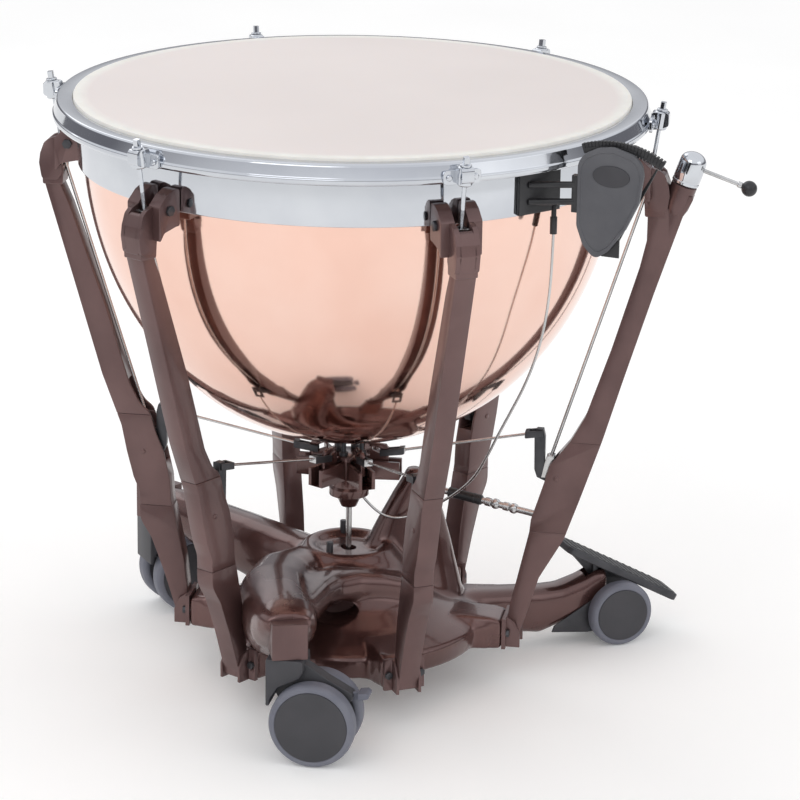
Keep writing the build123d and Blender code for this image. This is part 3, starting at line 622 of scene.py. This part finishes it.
def strut_piece(name, angle, outline, nodes):
    """Upper bar, knee and lower bar with seams between them, the head, and the slot for the crank."""
    low, high = FOOT_BOTTOM - 1, RING_BOTTOM + 32
    inner_slot = [(255, 314), (311, 314), (311, 352), (331, 404), (341, 442), (255, 442)]
    pivot_slot = [(290, 312), (328, 312), (328, 350), (290, 352)]
    bm = bmesh.new()
    add_head(bm, angle)
    strut = baked(soften(to_object(name, bm), 1.6))
    for start, end in zip((low,) + SEAMS, SEAMS + (high,)):
        span = clipped(outline, start + SEAM_GAP / 2, end - SEAM_GAP / 2)
        bm = bmesh.new()
        prism(bm, span, radial(angle), -STRUT_HALF, STRUT_HALF)
        part = to_object(name + "_span", bm)
        if end > SEAMS[0]:
            for slot, half in ((inner_slot, 11), (pivot_slot, 6.5)):
                bm = bmesh.new()
                prism(bm, slot, radial(angle), -half, half)
                cut_out(part, bm)
        merge(strut, baked(soften(part, 2.0, 3)))
    bm = bmesh.new()
    ends = [radial(angle) @ Vector((*LEVER_PIVOT, s * (STRUT_HALF + 1.2))) for s in (-1, 1)]
    tube(bm, ends[0], ends[1], 4.0)
    merge(strut, to_object("pin", bm))
    strut.data.shade_smooth()
    strut.data.set_sharp_from_angle(angle=math.radians(30))
    settle(strut, "stand", HAMMERED, nodes)


def struts():
    outer = [(463, 752), (418, 596), (376, 449), (347, 370), (339, 329), (329, 289), (320, 267), (319, 222),
             (302, 194), (283, 141), (FOOT_OUTER, 72), (FOOT_OUTER, FOOT_BOTTOM)]
    inner = [(FOOT_INNER, FOOT_BOTTOM), (FOOT_INNER, 104), (252, 163), (261, 207), (271, 256), (273, 290),
             (282, 331), (294, 362), (303, 394), (317, 404), (334, 437), (368, 552), (396, 633), (422, 708),
             (436, 740), (440, 758)]
    for number, angle in enumerate(STRUT_ANGLES, 1):
        strut_piece(f"strut_{number}", angle, rounded(outer + inner, 34, 4), ["struts"])


def tuner_strut():
    """The player's right-hand strut, which forks at its top to carry the fine tuner's cap."""
    outer = [(468, 748), (476, 768), (505, 773), (487, 742), (468, 683), (447, 617), (407, 484), (379, 388),
             (350, 300), (328, 236), (292, 172), (FOOT_OUTER, 72), (FOOT_OUTER, FOOT_BOTTOM)]
    inner = [(FOOT_INNER, FOOT_BOTTOM), (FOOT_INNER, 104), (250, 128), (276, 244), (278, 264), (296, 322),
             (304, 351), (331, 385), (354, 427), (390, 536), (427, 662), (436, 703), (436, 757), (459, 757)]
    strut_piece("strut_tuner", TUNER_ANGLE, rounded(outer + inner, 16, 4), ["tuner_strut"])
    low, high = tuner_point(738), tuner_point(786)
    length = (high - low).length
    bm = bmesh.new()
    socket = [(0, 0), (10, 0), (15.5, 6), (18.5, 16), (19, 24), (19, length - 1), (18, length), (0, length)]
    lathe(bm, socket, facing(low, high), 40)
    settle(soften(to_object("tuner_boss", bm), 0), "stand", HAMMERED)


# ---------------------------------------------------------------- fine tuner

def fine_tuner():
    """Chrome cap with a groove and a domed top, and its crank arm with a ball on the end."""
    low, top = tuner_point(787), tuner_point(833)
    length = (top - low).length
    r = CAP_RADIUS
    turns = [math.radians(9 * i) for i in range(10)]
    dome = [((r - 0.5) * math.cos(t), length - 15 + 15 * math.sin(t)) for t in turns] + [(0, length)]
    side = [(0, 0), (r - 1.4, 0), (r, 1.4), (r, 4.6), (r - 0.7, 5.4), (r - 0.7, 7), (r, 8), (r, 20)]
    bm = bmesh.new()
    lathe(bm, side + dome, facing(low, top), 48)
    settle(soften(to_object("tuner_cap", bm), 0), "fine_tuner", CHROME, ["tuner_handle"])
    bm = bmesh.new()
    tube(bm, tuner_point(813), at(570, TUNER_ANGLE, 787.5), 3.0)
    tube(bm, at(562, TUNER_ANGLE, 790), at(569, TUNER_ANGLE, 787.8), 4.6, 24, 1.0)
    settle(soften(to_object("tuner_arm", bm), 0), "fine_tuner", STEEL)
    bm = bmesh.new()
    ball(bm, at(579, TUNER_ANGLE, 784), 11.5)
    settle(soften(to_object("tuner_ball", bm), 0), "fine_tuner", BLACK)


def cross_linkage():
    """Cross shaft with its two joint balls, and the black sleeve on its inner end."""
    start, end = Vector(CROSS_START), Vector(CROSS_END)
    bm = bmesh.new()
    tube(bm, start, end, 5.0)
    for share in (0.22, 0.38):
        ball(bm, start.lerp(end, share), 8.0)
        tube(bm, start.lerp(end, share + 0.04), start.lerp(end, share + 0.09), 6.6)
    settle(soften(to_object("cross_shaft_piece", bm), 0), "cross_shaft", STEEL, ["cross_shaft"])
    bm = bmesh.new()
    tube(bm, start.lerp(end, 0.5), start.lerp(end, 0.8), 7.5, 28, 1.5)
    for share in (0.52, 0.56, 0.74, 0.78):
        tube(bm, start.lerp(end, share), start.lerp(end, share + 0.015), 8.0, 28, 0.4)
    settle(soften(to_object("cross_sleeve", bm), 0), "cross_shaft", BLACK)


# ---------------------------------------------------------------- base casting

# Limbs in plan, as (x, y, low, high, half width)
FRONT_LEG = [
    (12, -6, 100, 195, 44),
    (4, 56, 96, 200, 50),
    (-32, 112, 94, 209, 53),
    (-92, 148, 96, 216, 54),
    (-158, 166, 102, 221, 52),
    (-212, 179, 120, 223, 50),
    (-246, 185, 144, 223, 48),
    (-272, 190, 168, 221, 42),
    (-292, 194, 188, 216, 32),
]
REAR_LEG = [
    (9, 5, 100, 190, 40),
    (60, 36, 98, 190, 40),
    (112, 66, 98, 194, 38),
    (163, 97, 104, 199, 37),
    (215, 128, 116, 202, 35),
    (258, 153, 128, 202, 32),
    (292, 173, 144, 206, 30),
    (334, 198, 154, 206, 27),
    (357, 212, 156, 205, 26),
]
PEDAL_ARM = [
    (0, -10, 58, 190, 60),
    (0, -70, 56, 170, 52),
    (0, -130, 50, 128, 44),
    (0, -190, 42, 108, 36),
    (0, -250, 32, 101, 30),
    (0, -310, 22, 96, 27),
    (0, -345, 34, 96, 26),
    (0, -380, 44, 106, 25.5),
    (0, -405, 58, 118, 25),
    (0, -420, 70, 118, 25),
]
# The horn, as (distance towards the player, height, half width, half reach)
HORN = [
    (100, 70, 62, 88),
    (96, 120, 52, 84),
    (93, 160, 38, 78),
    (96, 200, 28, 66),
    (101, 240, 21, 50),
    (104, 275, 18, 32),
    (105, 298, 16, 17),
    (105, 311, 14, 10),
]
# The wide rim from the front block round to the horn, over the opening in the casting's side
WING = [
    (-282, 184, 172, 209, 22),
    (-204, 157, 158, 205, 34),
    (-161, 131, 154, 201, 36),
    (-120, 102, 150, 197, 36),
    (-90, 67, 147, 194, 35),
    (-75, 18, 144, 191, 33),
    (-80, -24, 140, 184, 28),
    (-84, -58, 132, 172, 22),
]


def limb_stations(shape):
    """Loft stations from (x, y, low, high, half width) along a limb's own line in plan."""
    places = [Vector((x, y, (low + high) / 2)) for x, y, low, high, _ in shape]
    stations = []
    for i, (_, _, low, high, half) in enumerate(shape):
        way = places[min(i + 1, len(shape) - 1)] - places[max(i - 1, 0)]
        way.z = 0
        stations.append((places[i], way, half, (high - low) / 2))
    return stations


def skirt_outline():
    """Plan of the casting's floor: pads at the strut feet with hollow sides between them."""
    points = []
    for angle in sorted(ALL_ANGLES):
        points += [at(238, angle, 0, -33), at(238, angle, 0, 33)]
        for step in (0.25, 0.5, 0.75):
            hollow = 176 - 16 * math.sin(math.pi * step)
            points.append(at(hollow, angle + 60 * step, 0))
    return [(p.x, p.y) for p in points]


def base_form():
    """The joined solids that the casting is smoothed from."""
    bm = bmesh.new()
    prism(bm, rounded(skirt_outline(), 30, 5), Matrix(), FLOOR_BOTTOM, FLOOR_BOTTOM + 40)
    cone = [(0, 60), (200, 60), (204, 92), (180, 104), (150, 116), (120, 134), (98, 160), (82, 184),
            (72, 195), (66, 205), (53, 205), (47, 194), (0, 194)]
    lathe(bm, cone, segments=72)
    loft(bm, limb_stations(FRONT_LEG))
    loft(bm, limb_stations(REAR_LEG))
    loft(bm, limb_stations(PEDAL_ARM), power=3.4)
    upright = Vector((0, 0.001, 1))
    loft(bm, [(Vector((0, -y, z)), upright, half, reach) for y, z, half, reach in HORN], power=2.8)
    loft(bm, limb_stations(WING), power=2.8)
    pad = rounded([(150, FLOOR_BOTTOM), (240, FLOOR_BOTTOM), (240, 104), (226, 108), (150, 112)], 5)
    for angle in ALL_ANGLES:
        prism(bm, pad, radial(angle), -32, 32)
    add_ridges(bm)
    return to_object("casting", bm)


def add_ridges(bm):
    """Raised lines along both sides of the rear leg's crest."""
    for side in (-1, 1):
        path = []
        for centre, way, half, reach in limb_stations(REAR_LEG)[1:-2]:
            across = Vector((0, 0, 1)).cross(way.normalized())
            path.append(centre + across * half * 0.62 * side + Vector((0, 0, reach * 0.80)))
        for a, b in zip(path, path[1:]):
            tube(bm, a, b, 5.0, 10)


def smoothed(obj, voxel, factor, repeat):
    """Blends the joined solids of obj into one smooth skin."""
    remesh = obj.modifiers.new("remesh", "REMESH")
    remesh.mode = "VOXEL"
    remesh.voxel_size = voxel * MM
    smooth = obj.modifiers.new("smooth", "SMOOTH")
    smooth.factor = factor
    smooth.iterations = repeat
    return baked(obj)


def casting():
    """The floor casting: smoothed limbs, with the crank's channel, the holes and the opening cut out."""
    form = smoothed(base_form(), 3.6, 0.5, 14)
    channel = [(-24, 10), (450, 10), (450, 140), (386, 140), (386, 82), (90, 82), (60, 138), (-24, 138)]
    bm = bmesh.new()
    prism(bm, channel, radial(-90), -CHANNEL_HALF, CHANNEL_HALF)
    cut_out(form, bm)
    bm = bmesh.new()
    tube(bm, (0, 0, 120), (0, 0, 230), ROD_HOLE)
    cut_out(form, bm)
    mouth, inward = Vector(OPENING_MOUTH), Vector(OPENING_WAY)
    hollow = [(mouth, inward, 48, 25), (mouth + inward * 38, inward, 42, 20),
              (mouth + inward * 84, inward, 30, 14)]
    bm = bmesh.new()
    loft(bm, hollow, power=1.7)
    cut_out(form, bm)
    bm = bmesh.new()
    tube(bm, CROSS_START, Vector(CROSS_END) + Vector((6, 6, 0)), SHAFT_HOLE)
    cut_out(form, bm)
    form.data.shade_smooth()
    form.data.set_sharp_from_angle(angle=math.radians(50))
    settle(form, "stand", GLOSSY, ["base_casting"])


def caster_blocks():
    """Square blocks that take the casters' stems."""
    half = BLOCK_HALF
    square = rounded([(-half, -half), (half, -half), (half, half), (-half, half)], 3, 3)
    bm = bmesh.new()
    for name, degrees in BLOCK_TURNS.items():
        turn = Matrix.Rotation(math.radians(degrees), 4, "Z")
        prism(bm, square, Matrix.Translation((*SWIVEL_POINTS[name], 0)) @ turn, CASTER_TOP, BLOCK_TOP)
    settle(soften(to_object("caster_blocks", bm), 1.5), "stand", HAMMERED)


# ---------------------------------------------------------------- wheels and casters

def wheel_disc_painted_shade(bm, matrix, radius, width, way):
    """Nearly flat moulded disc set into the tyre, with a faint ring near its edge."""
    half = width / 2
    face = [(0, half + 0.6), (radius - 22, half + 0.5), (radius - 14, half + 0.2),
            (radius - 12, half + 0.4), (radius - 10.4, half + 0.1), (radius - 9.5, half - 2)]
    back = [(radius - 9.5, -half + 1), (8, -half + 1), (6.1, -half), (0, -half)]
    lathe(bm, [(r, z * way) for r, z in face + back], matrix, 72)


def wheel_tyre(bm, matrix, radius, width):
    half = width / 2
    section = [(radius - 11, -half + 2), (radius - 9, -half), (radius - 3, -half + 1), (radius, -half + 7),
               (radius, half - 7), (radius - 3, half - 1), (radius - 9, half), (radius - 11, half - 2)]
    lathe(bm, rounded(section, 6, 3), matrix, 96)


def wheel_pair(name, body, nodes, hubs, radius, width):
    """A tyre piece and a disc piece; hubs are (matrix, outward way) for each wheel."""
    bm = bmesh.new()
    for matrix, _ in hubs:
        wheel_tyre(bm, matrix, radius, width)
    settle(soften(to_object(name + "_tyres", bm), 0), body, TREAD, nodes)
    bm = bmesh.new()
    for matrix, way in hubs:
        wheel_disc_painted_shade(bm, matrix, radius, width, way)
    # The discs get the near-black colour that holds painted shade for the wheel faces.
    settle(soften(to_object(name + "_discs", bm), 0), body, DISC_PAINTED_SHADE)


def caster(name):
    """Twin wheels on an axle, the web and hood over them, and the brake's paddle."""
    upright = caster_plane(name)
    hubs = []
    for side in (-1, 1):
        middle = side * (WHEEL_INNER + WHEEL_OUTER) / 2
        hubs.append((upright @ Matrix.Translation((CASTER_TRAIL, CASTER_RADIUS, middle)), side))
    wheels = f"{name}_caster_wheels"
    wheel_pair(f"{name}_caster", wheels, [wheels], hubs, CASTER_RADIUS, WHEEL_OUTER - WHEEL_INNER)
    bm = bmesh.new()
    web = [(-22, 149), (22, 149), (58, 126), (98, 104), (94, 92), (60, 96), (56, 52), (30, 52), (22, 84),
           (-10, 88), (-21, 108)]
    hood = [(-27, CASTER_TOP - 0.4), (-27, 84), (-22, 84), (-20, 95), (-9, 113), (10, 122), (22, 129),
            (27, 138), (26, CASTER_TOP - 0.4)]
    prism(bm, rounded(web, 9), upright, -11, 11)
    prism(bm, rounded(hood, 3), upright, -28, 28)
    housing = baked(soften(to_object(f"{name}_caster_housing", bm), 2.4, 4))
    bm = bmesh.new()
    axle = [upright @ Vector((CASTER_TRAIL, CASTER_RADIUS, s * (WHEEL_OUTER - 2))) for s in (-1, 1)]
    tube(bm, axle[0], axle[1], 6.0)
    pin = [upright @ Vector((90, 97, s * 9)) for s in (-1, 1)]
    tube(bm, pin[0], pin[1], 2.5)
    merge(housing, to_object("axle_and_pin", bm))
    settle(soften(housing, 0), f"{name}_caster", DISC_PAINTED_SHADE, [f"{name}_caster_fork"])
    bm = bmesh.new()
    paddle = [(84, 92), (88, 90), (100, 93), (112, 97), (119, 100), (120, 105), (116, 109), (108, 108),
              (98, 106), (86, 103)]
    tread = [(103, 96), (119, 100), (120.5, 105), (116, 109), (103, 107)]
    prism(bm, rounded(paddle, 4), upright, -3, 3)
    prism(bm, rounded(tread, 3), upright, -13, 13)
    brake = soften(to_object(f"{name}_brake_paddle", bm), 1.6, 3)
    settle(brake, f"{name}_caster_brake", TREAD, [f"{name}_caster_brake"])


def small_wheels():
    width = SMALL_OUTER - SMALL_INNER
    for name, side in (("left", -1), ("right", 1)):
        middle = side * (SMALL_INNER + SMALL_OUTER) / 2
        hub = radial(-90) @ Matrix.Translation((*SMALL_AXLE, middle))
        wheel = f"pedal_wheel_{name}"
        wheel_pair(f"small_{name}", wheel, [wheel], [(hub, side)], SMALL_RADIUS, width)


# ---------------------------------------------------------------- pedal

def board_plane():
    """The footboard's plane: x from toe to heel, y across and z up from its top face."""
    toe = at(BOARD_TOE[0], -90, BOARD_TOE[1])
    heel = at(BOARD_HEEL[0], -90, BOARD_HEEL[1])
    way = (heel - toe).normalized()
    return plane(toe, way, Vector((1, 0, 0)).cross(way) * -1), (heel - toe).length


def footboard():
    """Board with rounded corners, and its ribbed rubber pad."""
    matrix, length = board_plane()
    half = BOARD_HALF
    outline = rounded([(0, -half), (length, -half + 2), (length, half - 2), (0, half)], 14, 6)
    bm = bmesh.new()
    prism(bm, outline, matrix, -BOARD_THICK - 3, -2.2)
    plate = soften(to_object("footboard_plate", bm), 2.0, 3)
    settle(plate, "pedal", DARK_STEEL, ["pedal_board"])
    bm = bmesh.new()
    inner = [(5, -half + 5), (length - 5, -half + 6), (length - 5, half - 6), (5, half - 5)]
    prism(bm, rounded(inner, 11, 6), matrix, -2.4, -1.0)
    for i in range(BOARD_RIBS):
        x = 18 + (length - 36) * i / (BOARD_RIBS - 1)
        reach = half - 8 if 0 < i < BOARD_RIBS - 1 else half - 16
        rib = [(x - 2.4, -reach), (x + 2.4, -reach), (x + 2.4, reach), (x - 2.4, reach)]
        prism(bm, rounded(rib, 2.2, 3), matrix, -1.2, 0)
    settle(soften(to_object("footboard_pad", bm), 0.4), "pedal", RUBBER)


# ---------------------------------------------------------------- tuning gauge

def shield_outline(grow):
    """The shield's rounded outline, shrunk about its middle by grow."""
    points = [(-15, -85), (-33, -66), (-43, -40), (-43, 48), (-34, 62), (-14, 72), (8, 75), (38, 67),
              (50, 56), (53, 40), (47, 0), (29, -38), (4, -72)]
    return rounded([(4 + (x - 4) * grow, y * grow) for x, y in points], 22, 5)


def shield():
    """Moulded shield: a dished face inside a raised border, with a blank oval badge."""
    bm = bmesh.new()
    prism(bm, shield_outline(1.0), gauge_plane(), 0, 6)
    body = to_object("gauge_shield_piece", bm)
    for grow, low, high in ((0.93, -2, 3.6), (0.90, 4.9, 9)):
        bm = bmesh.new()
        prism(bm, shield_outline(grow), gauge_plane(), low, high)
        cut_out(body, bm)
    settle(soften(body, 1.0, 3), "stand", SHIELD, ["gauge_shield"])
    turns = [2 * math.pi * i / 48 for i in range(48)]
    oval = [(6 + 27 * math.cos(t), 34 + 15 * math.sin(t)) for t in turns]
    bm = bmesh.new()
    prism(bm, oval, gauge_plane(), 4.6, 6.4)
    settle(soften(to_object("gauge_badge", bm), 0.7, 3), "stand", DISC_PAINTED_SHADE)


def on_scale(radius, degrees):
    """A place on the gauge given by its distance and angle from the pointer's pivot."""
    turn = math.radians(degrees)
    return (POINTER_PIVOT[0] + radius * math.sin(turn), POINTER_PIVOT[1] + radius * math.cos(turn))


def dial():
    """Scale plate behind the shield, its rim, the movable note markers and the pointer's stud."""
    count = NOTE_MARKERS
    face = gauge_plane()
    bm = bmesh.new()
    fan = [on_scale(20, 40), on_scale(20, 140), on_scale(20, -140), on_scale(20, -70)]
    fan += [on_scale(SCALE_RADIUS - 6, -17 + 31 * i / count) for i in range(count + 1)]
    prism(bm, fan, face, -4.5, -2)
    edge = [on_scale(SCALE_RADIUS - 11, -19 + 50 * i / count) for i in range(count + 1)]
    edge += [on_scale(SCALE_RADIUS - 1, 31 - 50 * i / count) for i in range(count + 1)]
    prism(bm, edge, face, -7.5, -4.4)
    marker = rounded([(-1.9, -8), (1.9, -8), (1.9, 6), (-1.9, 6)], 1.2, 3)
    for i in range(count):
        degrees = -18 + 50 * i / count
        place = Matrix.Translation((*on_scale(SCALE_RADIUS - 5, degrees), 0))
        turn = Matrix.Rotation(math.radians(-degrees), 4, "Z")
        prism(bm, marker, face @ place @ turn, -10.5, -3.5)
    tube(bm, face @ Vector((*POINTER_PIVOT, -17)), face @ Vector((*POINTER_PIVOT, -3)), 3.0)
    tube(bm, face @ Vector((*POINTER_PIVOT, -18.5)), face @ Vector((*POINTER_PIVOT, -15.6)), 5.0, 24, 0.8)
    settle(soften(to_object("gauge_scale", bm), 0.4), "stand", BLACK, ["gauge_dial"])


def gauge_cable():
    """The cable as a smooth curve through its route, held at both ends."""
    curve = bpy.data.curves.new("gauge_cable_line", "CURVE")
    curve.dimensions = "3D"
    curve.bevel_depth = CABLE_RADIUS * MM
    curve.bevel_resolution = 4
    curve.resolution_u = 16
    curve.use_fill_caps = True
    spline = curve.splines.new("NURBS")
    spline.points.add(len(CABLE_ROUTE) - 1)
    for point, place in zip(spline.points, CABLE_ROUTE):
        point.co = (*(Vector(place) * MM), 1.0)
    spline.order_u = 3
    spline.use_endpoint_u = True
    cable = bpy.data.objects.new("gauge_cable_piece", curve)
    bpy.context.scene.collection.objects.link(cable)
    settle(cable, "stand", STEEL, ["gauge_cable"])


# ---------------------------------------------------------------- nodes kept from the CAD

def on_crown(radius, height):
    """Whether a face of the pull rod is on the crown at its top."""
    return height > CROWN_BOTTOM and radius > 5


def on_tie_end(radius, _):
    """Whether a face of a tie rod is on one of its end fittings, at any height."""
    return not TIE_ROD_BARE[0] < radius < TIE_ROD_BARE[1]


def kept_nodes():
    """Materials and softer edges for the nodes that are carried over."""
    for node in ("flesh_hoop", "base_crank", "pedal_link", "tuner_shaft"):
        dress(node, STEEL, 0.4)
    dress("pull_rod", STEEL, 0.4, 2, GLOSSY, on_crown)
    for node in ("frame_bolts", "hub_studs", "wheel_bracket", "pedal_lever"):
        dress(node, DARK_STEEL, 0.6)
    for number in range(1, len(ALL_ANGLES) + 1):
        dress(f"lever_{number}", DARK_STEEL, 1.8, 3)
        dress(f"tension_rod_{number}", STEEL, 0.5)
        dress(f"tie_rod_{number}", STEEL, 0.5, 2, DARK_STEEL, on_tie_end)
    dress("hub_housing", GLOSSY, 1.2)
    dress("foot_brackets", HAMMERED, 1.2)
    dress("gauge_bracket", BLACK, 1.2, 3)
    dress("gauge_pointer", POINTER, 0.3)


# ---------------------------------------------------------------- studio

def area_light(name, place, size, power):
    data = bpy.data.lights.new(name, "AREA")
    data.shape = "SQUARE"
    data.size = size
    data.energy = power
    lamp = bpy.data.objects.new(name, data)
    lamp.location = place
    lamp.rotation_euler = (Vector(LIGHT_AIM) - Vector(place)).to_track_quat("-Z", "Y").to_euler()
    bpy.context.scene.collection.objects.link(lamp)


def paper_floor():
    half = FLOOR_HALF
    bm = bmesh.new()
    corners = [(-half, -half), (half, -half), (half, half), (-half, half)]
    bm.faces.new([bm.verts.new((x, y, 0)) for x, y in corners])
    floor = to_object("studio_floor", bm)
    paper = surface("paper", (0.96, 0.96, 0.96), (0.98, 0.98, 0.98), 0.0, (0.7, 0.8), 2.0)
    shader = paper.node_tree.nodes["Principled BSDF"]
    shader.inputs["Emission Color"].default_value = (1, 1, 1, 1)
    shader.inputs["Emission Strength"].default_value = 0.09
    floor.data.materials.append(paper)


def studio():
    """White surroundings, which polished pieces see as darker towards the horizon, and three soft lamps."""
    paper_floor()
    world = bpy.data.worlds.new("studio")
    world.use_nodes = True
    tree = world.node_tree
    coordinates = tree.nodes.new("ShaderNodeTexCoord").outputs["Generated"]
    split = tree.nodes.new("ShaderNodeSeparateXYZ")
    tree.links.new(coordinates, split.inputs["Vector"])
    soft = ramp_node(tree, split.outputs["Z"], (0.20, 0.20, 0.22), (0.96, 0.97, 1.0), 0.10, 0.32)
    rays = tree.nodes.new("ShaderNodeLightPath")
    gloss = tree.nodes["Background"]
    tree.links.new(soft, gloss.inputs["Color"])
    plain = tree.nodes.new("ShaderNodeBackground")
    plain.inputs["Color"].default_value = (1, 1, 1, 1)
    plain.inputs["Strength"].default_value = 0.9
    choose = tree.nodes.new("ShaderNodeMixShader")
    tree.links.new(rays.outputs["Is Glossy Ray"], choose.inputs["Fac"])
    tree.links.new(plain.outputs["Background"], choose.inputs[1])
    tree.links.new(gloss.outputs["Background"], choose.inputs[2])
    tree.links.new(choose.outputs["Shader"], tree.nodes["World Output"].inputs["Surface"])
    bpy.context.scene.world = world
    area_light("key", (-2.6, 2.4, 3.2), 2.2, 20)
    area_light("fill", (-3.2, -2.6, 1.8), 2.4, 10)
    area_light("back", (2.8, 0.6, 3.0), 2.4, 14)


def camera():
    """The photograph's viewpoint, a long lens in front and a little above."""
    spin = Matrix.Rotation(math.radians(CAMERA_TURN), 3, "Z")
    yaw, pitch, roll = CAMERA_YAW, CAMERA_PITCH, CAMERA_ROLL
    forward = Vector((math.sin(yaw) * math.cos(pitch), math.cos(yaw) * math.cos(pitch), -math.sin(pitch)))
    right = Vector((math.cos(yaw), -math.sin(yaw), 0))
    up = right.cross(forward)
    level_right = right * math.cos(roll) + up * math.sin(roll)
    level_up = up * math.cos(roll) - right * math.sin(roll)
    axes = Matrix((spin @ level_right, spin @ level_up, spin @ -forward)).transposed()
    data = bpy.data.cameras.new("camera")
    data.lens = CAMERA_LENS
    data.sensor_width = 36.0
    data.clip_end = 100.0
    view = bpy.data.objects.new("camera", data)
    view.matrix_world = Matrix.Translation(CAMERA_PLACE) @ axes.to_4x4()
    bpy.context.scene.collection.objects.link(view)
    bpy.context.scene.camera = view
    bpy.context.scene.view_settings.view_transform = "Standard"


kettle()
ring_band()
hoop_band()
head_film()
lugs()
tension_screws()
struts()
tuner_strut()
fine_tuner()
cross_linkage()
casting()
caster_blocks()
for swivel in SWIVEL_POINTS:
    caster(swivel)
small_wheels()
footboard()
shield()
dial()
gauge_cable()
kept_nodes()
studio()
camera()
